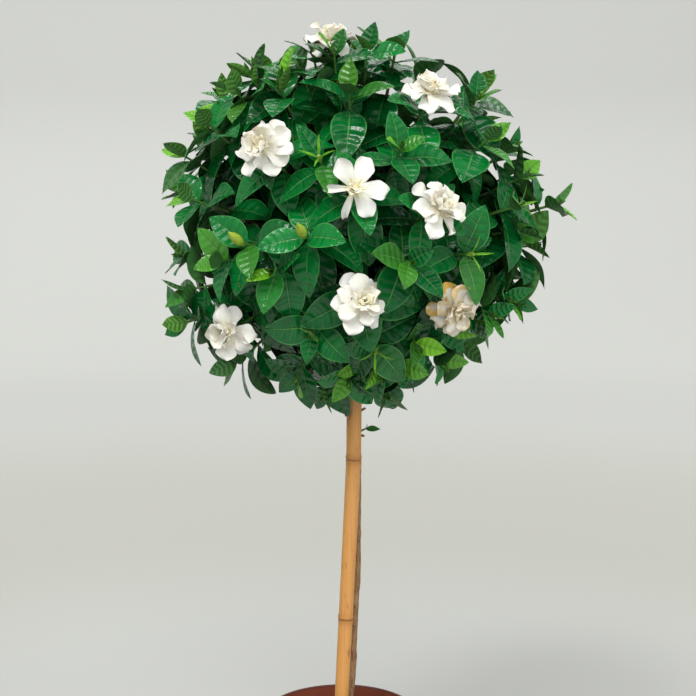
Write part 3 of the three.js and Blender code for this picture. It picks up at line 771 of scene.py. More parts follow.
@dataclass
class Blade:
    """One leaf, petal or sepal: where it springs from, how it lies and how it is bent, in millimetres."""

    FLATTEST: ClassVar[float] = 1e-6

    root: Vector
    along: Vector
    upper: Vector
    length: float
    width: float
    arch: float = 0.0
    fold: float = 0.1
    twist: float = 0.0
    ruffle: float = 0.0
    # Three numbers for its finish: a leaf's brightness, youth and painted shade, or a petal's cream, browning and
    # heart.
    look: tuple[float, float, float] = (0.5, 0.0, 0.0)
    coarse: bool = False

    def point(self, t: float, s: float = 0.0, share: float = 1.0) -> Vector:
        """Finds a point of its surface.

        Args:
            t: How far along it.
            s: How far across it, from -1 to 1.
            share: Its half width there, as a share of the widest.

        Returns:
            The point, in millimetres.
        """
        arch = self.arch if abs(self.arch) > self.FLATTEST else self.FLATTEST
        turn = arch * t
        run, fall = self.length * math.sin(turn) / arch, self.length * (1 - math.cos(turn)) / arch
        normal = self.upper * math.cos(turn) + self.along * math.sin(turn)
        lift = self.fold + math.copysign(self.twist, s) * t
        half = self.width / 2 * share
        out = self.along.cross(self.upper) * (s * half * math.cos(lift)) + normal * (abs(s) * half * math.sin(lift))
        return self.root + self.along * run - self.upper * fall + out


@dataclass
class Twig:
    """A tapering round stem through points, in millimetres, with its tone along it."""

    points: list[Vector]
    radii: list[float]
    tones: list[tuple[float, float, float]]

    @staticmethod
    def plain(points: Sequence[Vector], radii: Sequence[float], tone: float = 0.0, cream: float = 0.0) -> "Twig":
        """Returns a twig of one tone."""
        return Twig(list(points), list(radii), [(tone, cream, 0.0)] * len(points))

    @staticmethod
    def spindle(foot: Vector, way: Vector, profile: Sequence, tone: float = 0.0, cream: float = 0.0) -> "Twig":
        """Returns a straight body of one tone, with a profile of distances along it and radii."""
        return Twig.plain([foot + way * along for along, _ in profile], [r for _, r in profile], tone, cream)


@dataclass(frozen=True)
class Outline:
    """The outline of a flat blade as a share of its widest half width, with how its mesh is laid and grown."""

    name: str
    share: Callable[[float], float]
    rows: int
    columns: int
    # How far its rows lean towards the tip, where the first is, and how much they crowd towards the tip.
    lean: float = 0.0
    neck: float = 0.06
    crowd: float = 1.0
    # Half its thickness in metres, how high it swells between its veins, and how fast its ruffle runs.
    thickness: float = 0.00026
    relief: float = 0.0
    waves: float = 7.0
    finish: Finish = LEAF
    bulge: float = 0.02

    def mesh(self) -> bpy.types.Object:
        """Makes the flat blade that the trees bend: a closed double sheet whose rows run along its side veins.

        Returns:
            An object off the scene's view, with the attributes spot and rib.
        """
        spans = [k / self.columns for k in range(-self.columns, self.columns + 1)]
        points, spots, ribs = ([(0.0, 0.0, 0.0)] for _ in range(3))
        faces, rims = [], []
        grid: list[tuple[list[int], list[int]]] = []
        for row in range(1, self.rows):
            base = mixed(self.neck, 1.0, 1 - (1 - (row - 1) / (self.rows - 1)) ** self.crowd)
            sheet: tuple[list[int], list[int]] = ([], [])
            for face in (1, -1):
                for s in spans:
                    if face < 0 and abs(s) == 1:
                        sheet[1].append(sheet[0][0 if s < 0 else -1])
                        continue
                    t = base + self.lean * abs(s) * 4 * (base - self.neck) * (1 - base)
                    swell = (row % 2) * (1 - abs(2 * abs(s) - 1) ** 2) if self.lean else 0.0
                    span = s * self.share(t)
                    points.append((t, span, self.bulge * face * (1 - s * s)))
                    spots.append((t, s, face * (1 - s * s)))
                    ribs.append((row, span, swell))
                    sheet[0 if face > 0 else 1].append(len(points) - 1)
            grid.append(sheet)
        tip = len(points)
        points.append((1.0, 0.0, 0.0))
        spots.append((1.0, 0.0, 0.0))
        ribs.append((self.rows, 0.0, 0.0))
        last = len(spans) - 1
        for face, flip in ((0, False), (1, True)):
            cells = []
            for k in range(last):
                cells.append((0, grid[0][face][k], grid[0][face][k + 1]))
                cells.append((grid[-1][face][k + 1], grid[-1][face][k], tip))
                for low, high in zip(grid, grid[1:]):
                    # Both sheets are split along the same corners, so that neither shows through the other.
                    cells.append((low[face][k], high[face][k], high[face][k + 1]))
                    cells.append((low[face][k], high[face][k + 1], low[face][k + 1]))
            faces += [cell if flip else cell[::-1] for cell in cells]
        for side in (0, last):
            rim = [0, *[sheet[0][side] for sheet in grid], tip]
            rims += [frozenset(pair) for pair in zip(rim, rim[1:])]
        made = mesh_object(self.name, points, faces)
        put(made.data, "spot", spots)
        put(made.data, "rib", ribs)
        sharp = made.data.attributes.new("sharp_edge", "BOOLEAN", "EDGE")
        sharp.data.foreach_set("value", [frozenset(edge.vertices) in rims for edge in made.data.edges])
        made.hide_render = True
        return made


def leaf_share(t: float) -> float:
    """Returns a leaf's half width: a short stalk, widest just short of the middle, drawn out to the tip."""
    u = max(t - 0.05, 0.0) / 0.95
    return 0.045 + 0.93 * 3.91 * u**0.85 * max(1 - u, 0.0) ** 1.15


def petal_share(t: float) -> float:
    """Returns a petal's half width: a narrow claw that widens to a broad round end."""
    widen = 0.4 + 0.6 * min(t / 0.7, 1.0) ** 1.1
    return widen * (1 - max((t - 0.56) / 0.44, 0.0) ** 2.1) ** 0.62


class Form(Enum):
    """The flat blades that everything is grown from."""

    LEAF = Outline("flat_leaf", leaf_share, 13, 2, 0.10, relief=0.03)
    COARSE_LEAF = Outline("flat_inner_leaf", leaf_share, 6, 1)
    PETAL = Outline("flat_petal", petal_share, 13, 3, 0.0, 0.08, 1.7, thickness=0.0004, waves=9.0, finish=PETAL)


class Grower:
    """Grows blades and twigs into one mesh with a geometry tree."""

    FLATTEST, PHASE_STEP, SIDES = 1e-3, 2.4, 8
    SPENT = ("root", "along", "upper", "size", "bend", "phase", "coarse", "thick")

    def __init__(self) -> None:
        """Makes the flat blades and the tree."""
        self.flat = {form: form.value.mesh() for form in Form}
        inputs = dict.fromkeys(("Twigs", "Blade", "Coarse Blade"), "Object")
        inputs |= dict.fromkeys(("Blade Finish", "Twig Finish"), "Material")
        inputs |= dict.fromkeys(("Thickness", "Relief", "Waves"), "Float")
        self.graph = GeometryGraph("grown_blades", {**inputs, "Sides": "Int"})
        self._build(self.graph)

    @staticmethod
    def _build(graph: GeometryGraph) -> None:
        """Writes the tree: each point becomes a bent blade, and each line of the twigs a tapering stem."""
        coarse = graph.stored("coarse", "FLOAT")
        sheets = []
        for label, keep in (("Blade", coarse.math("ABSOLUTE") * -1.0 + 1.0), ("Coarse Blade", coarse)):
            values = {"Points": graph.given("Geometry"), "Selection": keep, "Instance": graph.shape_of(label)}
            sheets.append(graph.node("GeometryNodeInstanceOnPoints", values))
        real = graph.node("GeometryNodeRealizeInstances", {"Geometry": graph.join(*sheets)})
        t, s, face = graph.stored("spot").parts
        row, span, hill = graph.stored("rib").parts
        length, width, arch = graph.stored("size").parts
        fold, twist, ruffle = graph.stored("bend").parts
        along, upper = graph.stored("along"), graph.stored("upper")
        side = s.math("SIGN")
        turn = arch * t
        normal = upper * turn.math("COSINE") + along * turn.math("SINE")
        lift = fold + side * twist * t
        half = width * 0.5
        wave = (t * graph.given("Waves") + side * 1.7 + graph.stored("phase", "FLOAT")).math("SINE")
        rise = half * span.math("ABSOLUTE") * lift.math("SINE")
        rise = rise + graph.given("Relief") * hill * width + face * graph.given("Thickness")
        rise = rise + ruffle * width * s * s * wave * t
        place = graph.stored("root") + along * (length * turn.math("SINE") / arch)
        place = place - upper * (length * (1.0 - turn.math("COSINE")) / arch)
        place = place + along.cross(upper) * (half * span * lift.math("COSINE")) + normal * rise
        bent = graph.node("GeometryNodeSetPosition", {"Geometry": real, "Position": place})
        line = graph.node("GeometryNodeMeshToCurve", {"Mesh": graph.shape_of("Twigs")})
        tubes = graph.node("GeometryNodeSetShadeSmooth", {"Geometry": graph.tubes(line)})
        graph.end(graph.join(graph.dressed(bent, "Blade Finish"), graph.dressed(tubes, "Twig Finish")))

    @staticmethod
    def lines(name: str, twigs: Iterable[Twig]) -> bpy.types.Object:
        """Makes the bare lines of twigs, with how thick and what tone they are at each point.

        Args:
            name: The object's name.
            twigs: The twigs.

        Returns:
            The object.
        """
        points, edges, thick, tones = [], [], [], []
        for twig in twigs:
            first = len(points)
            points += [p * MM for p in twig.points]
            thick += [r * MM for r in twig.radii]
            tones += twig.tones
            edges += [(k, k + 1) for k in range(first, len(points) - 1)]
        made = mesh_object(name, points, (), edges)
        put(made.data, "thick", thick)
        put(made.data, "tone", tones)
        return made

    def grow(
        self, name: str, blades: Sequence[Blade], twigs: Sequence[Twig], form: Form = Form.LEAF
    ) -> bpy.types.Object:
        """Grows blades and twigs into one object.

        Args:
            name: Its name.
            blades: The blades.
            twigs: The twigs.
            form: What the blades are.

        Returns:
            The object, with a plain mesh.
        """
        made = mesh_object(name, [b.root * MM for b in blades])
        arches = [b.arch if abs(b.arch) > self.FLATTEST else self.FLATTEST for b in blades]
        stored = {
            "root": [b.root * MM for b in blades],
            "along": [b.along for b in blades],
            "upper": [b.upper for b in blades],
            "size": [(b.length * MM, b.width * MM, arch) for b, arch in zip(blades, arches)],
            "bend": [(b.fold, b.twist, b.ruffle) for b in blades],
            "look": [b.look for b in blades],
            "phase": [k * self.PHASE_STEP for k in range(len(blades))],
            "coarse": [float(b.coarse) for b in blades],
        }
        for attribute, values in stored.items():
            put(made.data, attribute, values)
        lines = self.lines(name + "_lines", twigs)
        outline = form.value
        self.graph.run(
            made,
            Twigs=lines,
            Blade=self.flat[form],
            Coarse_Blade=self.flat[Form.COARSE_LEAF],
            Blade_Finish=outline.finish.made(),
            Twig_Finish=TWIG.made(),
            Thickness=outline.thickness,
            Relief=outline.relief,
            Waves=outline.waves,
            Sides=self.SIDES,
        )
        bpy.data.objects.remove(lines)
        for attribute in [a.name for a in made.data.attributes if a.name in self.SPENT]:
            made.data.attributes.remove(made.data.attributes[attribute])
        return made

    def clear(self) -> None:
        """Removes the flat blades."""
        for made in self.flat.values():
            bpy.data.objects.remove(made)


def blade_frame(
    axis: Vector, azimuth: float, pitch: float, roll: float, droop: float = 0.0, to_light: float = 0.0
) -> tuple[Vector, Vector]:
    """Finds how a blade lies that leaves an axis sideways.

    Args:
        axis: The way of the stem.
        azimuth: Which side it leaves on.
        pitch: How steeply it rises.
        roll: How far it leans round its own length.
        droop: How far its weight pulls it down.
        to_light: How far it turns its upper face to the light.

    Returns:
        The way it runs, and the way its upper face looks.
    """
    right, over = sides_of(axis)
    side = right * math.cos(azimuth) + over * math.sin(azimuth)
    along = (side * math.cos(pitch) + axis * math.sin(pitch) - UP * droop).normalized()
    upper = (axis - along * axis.dot(along)).normalized()
    across = along.cross(upper)
    turn = roll + min(max(math.atan2(-across.z, upper.z), -MOST_TO_LIGHT), MOST_TO_LIGHT) * to_light
    return along, upper * math.cos(turn) - across * math.sin(turn)


# ---- the plan of the crown ----


class End(Enum):
    """What a shoot ends in."""

    BLOOM = "bloom"
    SINGLE = "single"
    BUD = "bud"
    CALYX = "calyx"
    LEAVES = "leaves"


@dataclass
class Shoot:
    """The straight leafy end of a stem: its plan, and once placed its index, tip, axis and base."""

    at: tuple[float, float]
    reach: float
    spin: float
    ends: End = End.LEAVES
    faces: Optional[tuple[float, float]] = None
    turn: float = 90.0
    freedom: float = 1.0
    index: int = 0
    tip: Vector = field(default_factory=Vector)
    axis: Vector = field(default_factory=Vector)
    base: Vector = field(default_factory=Vector)


@dataclass
class Spray:
    """One or two shoots that share a foot, and the side shoots that fill the head between them."""

    name: str
    shoots: list[Shoot]
    axis: Vector
    foot: Vector
    blades: list[Blade] = field(default_factory=list)
    side_shoots: list[Shoot] = field(default_factory=list)


@dataclass(frozen=True)
class Whorl:
    """A ring of petals or sepals: how many, how big, how steep, how arched, and where on their stem."""

    count: int
    length: float
    width: float
    pitch: float
    arch: float
    ring: float
    level: float

    def root(self, middle: Vector, axis: Vector, along: Vector) -> Vector:
        """Returns where the blade that runs one way springs from a stem with some middle and axis."""
        return middle + axis * self.level + (along - axis * along.dot(axis)).normalized() * self.ring


def twin(longitude: float, latitude: float, spin: float) -> Shoot:
    """Returns the second, leafy shoot of a spray."""
    return Shoot((longitude, latitude), 174, spin)


# The sprays of the photograph's side. A shoot has its longitude and latitude, its reach, the spin of its leaves,
# what it ends in and the way a flower faces.
FRONT_SPRAYS: list[list[Shoot]] = [
    [Shoot((-31, 23), 172, 40, End.BLOOM, (-22, 22))],
    [Shoot((31, 41), 174, 75, End.BLOOM, (24, 62))],
    [Shoot((0, 11), 172, 20, End.SINGLE, (-6, 4))],
    [Shoot((24, 4), 172, 60, End.BLOOM, (48, 26))],
    [Shoot((-55, -36), 176, 30, End.BLOOM, (-42, -12))],
    [Shoot((1, -25), 172, 10, End.BLOOM, (22, 22)), twin(-17, -36, 70)],
    [Shoot((35, -26), 174, 70, End.BLOOM, (20, -30))],
    [Shoot((-22, 69), 176, 0, End.BLOOM, (-30, 76))],
    [Shoot((-16, -3), 176, 95, End.BUD)],
    [Shoot((-38, -6), 176, 50, End.BUD), twin(-50, -12, 20)],
    [Shoot((-12, 21), 174, 25, End.CALYX)],
    [Shoot((63, 5), 180, 60, End.CALYX)],
    [Shoot((38, -9), 178, 5, End.CALYX), twin(17, -11, 60)],
    [Shoot((8, -43), 178, 55, End.CALYX), twin(27, -42, 15)],
    [Shoot((-66, 31), 186, 5), twin(-93, 28, 50)],
    [Shoot((-64, 7), 182, 40)],
    [Shoot((-82, -12), 182, 80), twin(-108, -2, 25)],
    [Shoot((-80, -31), 206, 20)],
    [Shoot((-80, -50), 196, 50)],
    [Shoot((-40, -60), 178, 10)],
    [Shoot((-5, -64), 174, 35)],
    [Shoot((52, -52), 176, 35)],
    [Shoot((70, -26), 180, 65)],
    [Shoot((54, 27), 178, 15), twin(82, 24, 70)],
    [Shoot((-3, 45), 176, 85)],
    [Shoot((32, 66), 180, 40)],
    [Shoot((84, 46), 182, 0)],
    [Shoot((-80, 56), 180, 60)],
    [Shoot((86, 4), 206, 88)],
    [Shoot((-27, -14), 176, 208, turn=42)],
    [Shoot((15, 24), 174, 0)],
    [Shoot((-36, 46), 176, 30)],
]


@dataclass
class Crown:
    """The leafy head: its shoots, their leaves, buds and spent calyxes."""

    centre: Vector = field(default_factory=lambda: Vector((15, 0, 694)))
    upturn: float = 0.22
    shoot_length: float = 72
    shoot_foot: float = 12
    fork_turn: float = 25
    # Rings of forked sprays round the back: the latitude, the longitudes, and which of them bloom.
    back_rings: tuple = (
        (62, (145, 228), ()),
        (30, (124, 178, 232), (178,)),
        (-4, (118, 160, 206), (206,)),
        (-40, (122, 180, 236), (122,)),
    )
    back_reach: float = 176
    back_wander: float = 5
    back_tilt: float = 0.6
    # Pairs of leaves down a shoot: how far under the tip, how long, how steep, how arched.
    pairs: tuple = ((2, 31, 60, 0.25), (9, 46, 38, 0.5), (19, 56, 20, 0.75))
    # Pairs further in, in the same way.
    inner_pairs: tuple = ((30, 58, 6, 0.8), (41, 56, -4, 0.9), (53, 50, -10, 0.9), (66, 44, -14, 0.9))
    # From this row on, counted from the tip, leaves have the coarse blade. The inner layer's first is this one.
    inner_row: int = 5
    # A leaf's width as a share of its length, how far its length wanders, and its arch, fold and twist.
    ratio: tuple = (0.54, 0.66)
    size: tuple = (0.94, 1.18)
    bends: tuple = ((-0.25, 0.3), (0.08, 0.34), (-0.3, 0.3))
    # How far its azimuth, pitch and roll wander, in degrees.
    sway: tuple = (10, 9, 12)
    droop: float = 0.22
    to_light: float = 0.4
    ruffle: float = 0.035
    added_ruffle: float = 0.03
    # How often a leaf is bent to get clear, and how far at most: its azimuth, pitch, roll and share of length.
    tries: int = 14
    bent_clear: tuple = (42, 34, 34, 0.3)
    stem_radius: float = 1.8
    tip_radius: float = 1.3
    # How near a leaf's tip is to a corner of its solid, in millimetres.
    match: float = 0.02
    # How young the leaves of the first pairs look, and how much painted shade darkens any leaf's green: from, to,
    # more a pair, at most.
    youth: tuple = ((-0.35, 1.0), (-0.9, 0.35))
    painted_shade: tuple = (-0.45, 0.3, 0.16, 0.8)
    # Side shoots filled in between, in two layers: how many places are tried, how far apart, how far out.
    fill_layers: tuple = ((2800, 6.4, (160, 186)), (900, 9, (128, 156)))
    # The sines of the lowest and the highest latitude they are tried at, and how freely their leaves roll.
    fill_sines: tuple = (-0.86, 0.995)
    fill_freedom: float = 3.6
    # Side shoots placed before those, where the photograph's outline has one: longitude, latitude and reach.
    fill_first: tuple = (
        (-13, 60, 187), (-30, 63, 184), (8, 66, 182), (76, 14, 178), (90, 16, 174), (70, -3, 176), (84, -9, 182),
        (97, 9, 174), (60, 41, 182), (-84, 20, 188), (-76, -22, 190), (-98, 8, 186), (-96, -34, 186),
        (-60, 50, 186), (-92, 42, 184), (30, -70, 182), (-38, -74, 180),
    )
    # Seeds: of the filling, of its shoots, of added leaves, of leaves' looks and of furled leaves.
    fill_seed: int = 515
    fill_index: int = 500
    added_seed: int = 90000
    look_seed: int = 31
    furled_seed: int = 400
    # A shoot's stem swells at every other of its joints.
    joints: int = 7
    joint_swell: float = 0.25
    # Bodies as distances along and radii: what holds a flower, a bud, and the cup of a spent calyx.
    receptacle: tuple = ((-4, 2.0), (-2, 2.9), (0, 3.4))
    bud: tuple = (
        (-3, 1.3), (-1, 2.4), (2, 3.1), (5.5, 4.3), (9, 5.2), (13, 4.9), (17, 3.7), (20.5, 2.2), (24, 0.6)
    )
    cup: tuple = ((-4, 1.2), (-1, 2.1), (2, 2.8), (5, 2.5), (7, 1.6))
    bud_lift: float = 0.5
    spread_sepals: Whorl = Whorl(4, 24, 2.6, 52, 0.5, 0, 2)
    pressed_sepals: Whorl = Whorl(5, 15, 2.2, 78, -0.1, 2.6, 0)

    def place(self, shoot: Shoot, index: int) -> None:
        """Gives a shoot its index, and finds its tip, axis and base."""
        out = heading(*shoot.at)
        shoot.index, shoot.tip = index, self.centre + out * shoot.reach
        shoot.axis = (out + UP * self.upturn).normalized()
        shoot.base = shoot.tip - shoot.axis * self.shoot_length

    def fork(self, latitude: float, longitude: float, seed: int, blooms: bool) -> list[Shoot]:
        """Plans the two shoots of a forked spray at the back.

        Args:
            latitude, longitude: Its middle.
            seed: Its own seed.
            blooms: Whether one of them flowers.

        Returns:
            The shoots.
        """
        draw = Draws(seed)
        tilt = draw.between(-self.back_tilt, self.back_tilt)
        half, made = self.fork_turn / 2, []
        for side in (-1, 1):
            stretch = 1 / math.cos(math.radians(latitude))
            lon = longitude + side * half * math.cos(tilt) * stretch + draw.between(-1, 1) * self.back_wander
            lat = latitude + side * half * math.sin(tilt) + draw.between(-1, 1) * self.back_wander
            reach = self.back_reach + draw.between(-1, 1) * self.back_wander
            ends = End.BLOOM if blooms and side == 1 else End.LEAVES
            made.append(Shoot((lon, lat), reach, 90 * draw.next(), ends, (lon, lat) if ends is End.BLOOM else None))
        return made

    def sprays(self) -> list[Spray]:
        """Places every shoot, spray by spray.

        Returns:
            The sprays, in the order of their solids.
        """
        plans = [list(shoots) for shoots in FRONT_SPRAYS]
        for latitude, longitudes, blooms in self.back_rings:
            for longitude in longitudes:
                plans.append(self.fork(latitude, longitude, len(plans), longitude in blooms))
        index, made = 0, []
        for number, shoots in enumerate(plans, 1):
            for shoot in shoots:
                index += 1
                self.place(shoot, index)
            middle = sum((s.base for s in shoots), Vector()) / len(shoots)
            axis = sum((s.axis for s in shoots), Vector()).normalized()
            made.append(Spray(f"spray_{number:02d}", shoots, axis, middle - axis * self.shoot_foot))
        return made

    def leaf(self, shoot: Shoot, pair: Sequence[float], row: int, side: int, attempt: int, seed: int) -> Blade:
        """Makes the leaf at a place on a shoot, bent in one of the ways it may be bent.

        Args:
            shoot: The shoot.
            pair: How far under the tip, how long, how steep and how arched its pair is.
            row: Which pair it is, from the tip down.
            side: 0 or 1.
            attempt: Which of the ways.
            seed: The leaf's own seed.

        Returns:
            The leaf.
        """
        under, length, steep, arch = pair
        draw = Draws(seed)
        length *= draw.between(*self.size)
        width = length * draw.between(*self.ratio)
        bent, fold, twist = (draw.between(*bend) for bend in self.bends)
        sway = [draw.between(-most, most) for most in self.sway]
        azimuth = shoot.spin + shoot.turn * row + 180 * side + sway[0]
        pitch, roll = steep + sway[1], sway[2] * shoot.freedom
        for k in range(1, attempt + 1):
            turns = [2 * draw.next() - 1 for _ in range(3)]
            if k == attempt:
                share = k / self.tries
                azimuth += share * self.bent_clear[0] * turns[0]
                pitch += share * self.bent_clear[1] * turns[1]
                roll += share * self.bent_clear[2] * turns[2]
                length *= 1 - share * self.bent_clear[3]
                width *= 1 - share * self.bent_clear[3]
        droop = self.droop * min(row / (len(self.pairs) - 1), 1.5)
        along, upper = blade_frame(shoot.axis, *radians(azimuth, pitch, roll), droop, self.to_light)
        return Blade(shoot.tip - shoot.axis * under, along, upper, length, width, arch + bent, fold, twist)

    def solid_leaves(self, sprays: list[Spray]) -> int:
        """Gives each spray the leaves of its solid: of the ways to bend each, the one whose tip the solid has.

        Args:
            sprays: The sprays.

        Returns:
            How many leaves there are.
        """
        count = 0
        for spray in sprays:
            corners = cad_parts[spray.name].data.vertices
            tree = kdtree.KDTree(len(corners))
            for k, corner in enumerate(corners):
                tree.insert(corner.co / MM, k)
            tree.balance()
            for shoot in spray.shoots:
                for row, pair in enumerate(self.pairs):
                    if row == 0 and shoot.ends is not End.LEAVES:
                        continue
                    for side in (0, 1):
                        for attempt in range(self.tries + 1):
                            seed = 64 * shoot.index + 2 * row + side
                            leaf = self.leaf(shoot, pair, row, side, attempt, seed)
                            if tree.find(leaf.point(1.0))[2] < self.match:
                                leaf.look, leaf.ruffle = self.look(row, seed), self.ruffle
                                spray.blades.append(leaf)
                                count += 1
                                break
        return count

    def look(self, row: int, seed: int) -> tuple[float, float, float]:
        """Draws how bright and how young a leaf is, and how much painted shade darkens its green.

        Args:
            row: Which pair it is in, from the tip down. The further in, the more painted shade darkens its green.
            seed: The leaf's own seed.

        Returns:
            The three, from 0 to 1.
        """
        draw = Draws(seed + self.look_seed)
        tint = draw.next()
        young = max(0.0, draw.between(*self.youth[row])) if row < len(self.youth) else 0.0
        # Painted shade: the further in a leaf's pair, the darker its green, up to a most.
        low, high, shade_per_pair, most_shade = self.painted_shade
        return (tint, young, min(most_shade, max(0.0, draw.between(low, high) + shade_per_pair * max(row - 1, 0))))

    def inner_leaves(self, sprays: list[Spray], room: "Room") -> int:
        """Adds the pairs of leaves further down each shoot, where there is room for them.

        Args:
            sprays: The sprays.
            room: What is already in place.

        Returns:
            How many leaves were added.
        """
        count = 0
        for step, pair in enumerate(self.inner_pairs):
            for spray in sprays:
                for shoot in spray.shoots:
                    count += self.dress_shoot(spray, shoot, (pair,), step + len(self.pairs), room)
        return count

    def fill_between(self, sprays: list[Spray], room: "Room") -> int:
        """Adds leafy side shoots where the surface of the head has no shoot near.

        Args:
            sprays: The sprays.
            room: What is already in place.

        Returns:
            How many leaves were added.
        """
        owners = [(heading(*s.at), spray) for spray in sprays for s in spray.shoots]
        taken = ([pair[0] for pair in owners], [])
        draw, count = Draws(self.fill_seed), 0
        places = [(0, *place, 0.0) for place in self.fill_first]
        for layer, (tries, apart, reaches) in enumerate(self.fill_layers):
            for k in range(tries):
                latitude = math.degrees(math.asin(mixed(*self.fill_sines, (k * GOLDEN_SHARE) % 1.0)))
                places.append((layer, (k * GOLDEN_TURN) % 360.0, latitude, draw.between(*reaches), apart))
        for k, (layer, longitude, latitude, reach, apart) in enumerate(places):
            spin, out = 90 * draw.next(), heading(longitude, latitude)
            if max((out.dot(one) for one in taken[layer]), default=-1) > math.cos(math.radians(apart)):
                continue
            taken[layer].append(out)
            spray = max(owners, key=lambda pair: pair[0].dot(out))[1]
            shoot = Shoot((longitude, latitude), reach, spin, freedom=self.fill_freedom)
            self.place(shoot, self.fill_index + k)
            spray.side_shoots.append(shoot)
            pairs = self.inner_pairs[:3] if layer else self.pairs + self.inner_pairs[:2]
            count += self.dress_shoot(spray, shoot, pairs, self.inner_row * layer, room)
        return count

    def dress_shoot(self, spray: Spray, shoot: Shoot, pairs: Sequence, first: int, room: "Room") -> int:
        """Adds pairs of leaves to a shoot where there is room for them.

        Args:
            spray, shoot: The spray and its shoot.
            pairs: The pairs.
            first: Which pair, from the tip down, the first of them is.
            room: What is already in place.

        Returns:
            How many leaves were added.
        """
        count = 0
        for row, pair in enumerate(pairs, first):
            for side in (0, 1):
                seed = self.added_seed + 64 * shoot.index + 2 * row + side
                for attempt in range(self.tries + 1):
                    leaf = self.leaf(shoot, pair, row, side, attempt, seed)
                    if room.has_room(leaf):
                        leaf.look, leaf.ruffle = self.look(row, seed), self.added_ruffle
                        leaf.coarse = row >= self.inner_row
                        room.add(leaf)
                        spray.blades.append(leaf)
                        count += 1
                        break
        return count

    def furled(self, shoot: Shoot) -> list[Blade]:
        """Makes the small bright leaves still furled at the tip of a leafy shoot."""
        made, draw = [], Draws(self.furled_seed + shoot.index)
        for side in (0, 1):
            angles = radians(shoot.spin + 90 + 180 * side + draw.between(-12, 12), draw.between(74, 84), 0)
            along, upper = blade_frame(shoot.axis, *angles)
            length = draw.between(13, 19)
            # Its look: brightness, youth and a middling painted shade.
            look = (0.8, draw.between(0.6, 0.95), 0.5)
            made.append(Blade(shoot.tip.copy(), along, upper, length, length * 0.36, 0.15, 0.5, 0, 0, look, True))
        return made

    def bud_way(self, shoot: Shoot) -> Vector:
        """Returns the way a bud points: a little more upright than its shoot."""
        return (shoot.axis + UP * self.bud_lift).normalized()

    def sepals(self, shoot: Shoot) -> list[Blade]:
        """Makes the long thin sepals of a spent calyx, or the short ones pressed to a bud or a flower's tube."""
        spent = shoot.ends is End.CALYX
        whorl, axis = (self.spread_sepals, shoot.axis) if spent else (self.pressed_sepals, self.bud_way(shoot))
        made = []
        for k in range(whorl.count):
            along, upper = blade_frame(axis, math.tau * k / whorl.count, math.radians(whorl.pitch), 0.0)
            size = (whorl.length, whorl.width, whorl.arch, 0.2, 0, 0)
            made.append(Blade(whorl.root(shoot.tip, axis, along), along, upper, *size, (0.9, 0.95, 0.0), True))
        return made

    def twigs(self, spray: Spray) -> list[Twig]:
        """Makes the stems of a spray and what they end in.

        Args:
            spray: The spray.

        Returns:
            The twigs.
        """
        made = []
        for shoot in spray.shoots:
            flower = shoot.ends in (End.BLOOM, End.SINGLE)
            knee = shoot.base if len(spray.shoots) > 1 else spray.foot + shoot.axis * self.shoot_foot
            last, thick = shoot.tip - shoot.axis * (6 if flower else 0), self.stem_radius * 0.95
            stations = [(spray.foot, self.stem_radius, 0.1), (knee, thick, 0.1)]
            for k in range(1, self.joints + 1):
                share = k / self.joints
                radius = mixed(thick, self.tip_radius, share) + self.joint_swell * (k % 2)
                stations.append((knee.lerp(last, share), radius, mixed(0.15, 0.5, share)))
            if flower:
                stations += [(shoot.tip + shoot.axis * along, radius, 0.55) for along, radius in self.receptacle]
            points, radii, tones = zip(*stations)
            made.append(Twig(list(points), list(radii), [(tone, 0, 0) for tone in tones]))
            if shoot.ends is End.BUD:
                made.append(Twig.spindle(shoot.tip, self.bud_way(shoot), self.bud))
                made[-1].tones = [(mixed(0.5, 1.0, min(k / 4, 1)), 0, 0) for k in range(len(self.bud))]
            if shoot.ends is End.CALYX:
                made.append(Twig.spindle(shoot.tip, shoot.axis, self.cup, 0.7))
        for shoot in spray.side_shoots:
            start = min((s.base for s in spray.shoots), key=lambda p: (p - shoot.base).length)
            knee = shoot.base.lerp(shoot.tip, 0.35)
            points = [start, start.lerp(shoot.base, 0.6).lerp(knee, 0.3), knee, knee.lerp(shoot.tip, 0.5), shoot.tip]
            radii, tones = zip((1.6, 0.1), (1.5, 0.15), (1.45, 0.25), (1.35, 0.4), (1.1, 0.5))
            made.append(Twig(points, list(radii), [(tone, 0, 0) for tone in tones]))
        return made

    def build(self, grower: Grower, sprays: list[Spray]) -> None:
        """Grows every spray into its piece.

        Args:
            grower: What grows them.
            sprays: The sprays with their leaves.
        """
        for spray in sprays:
            blades = list(spray.blades)
            for shoot in spray.shoots + spray.side_shoots:
                blades += self.furled(shoot) if shoot.ends is End.LEAVES else self.sepals(shoot)
            made = grower.grow(spray.name + "_leaves", blades, self.twigs(spray))
            hand_over(made, "leaf", spray.name)


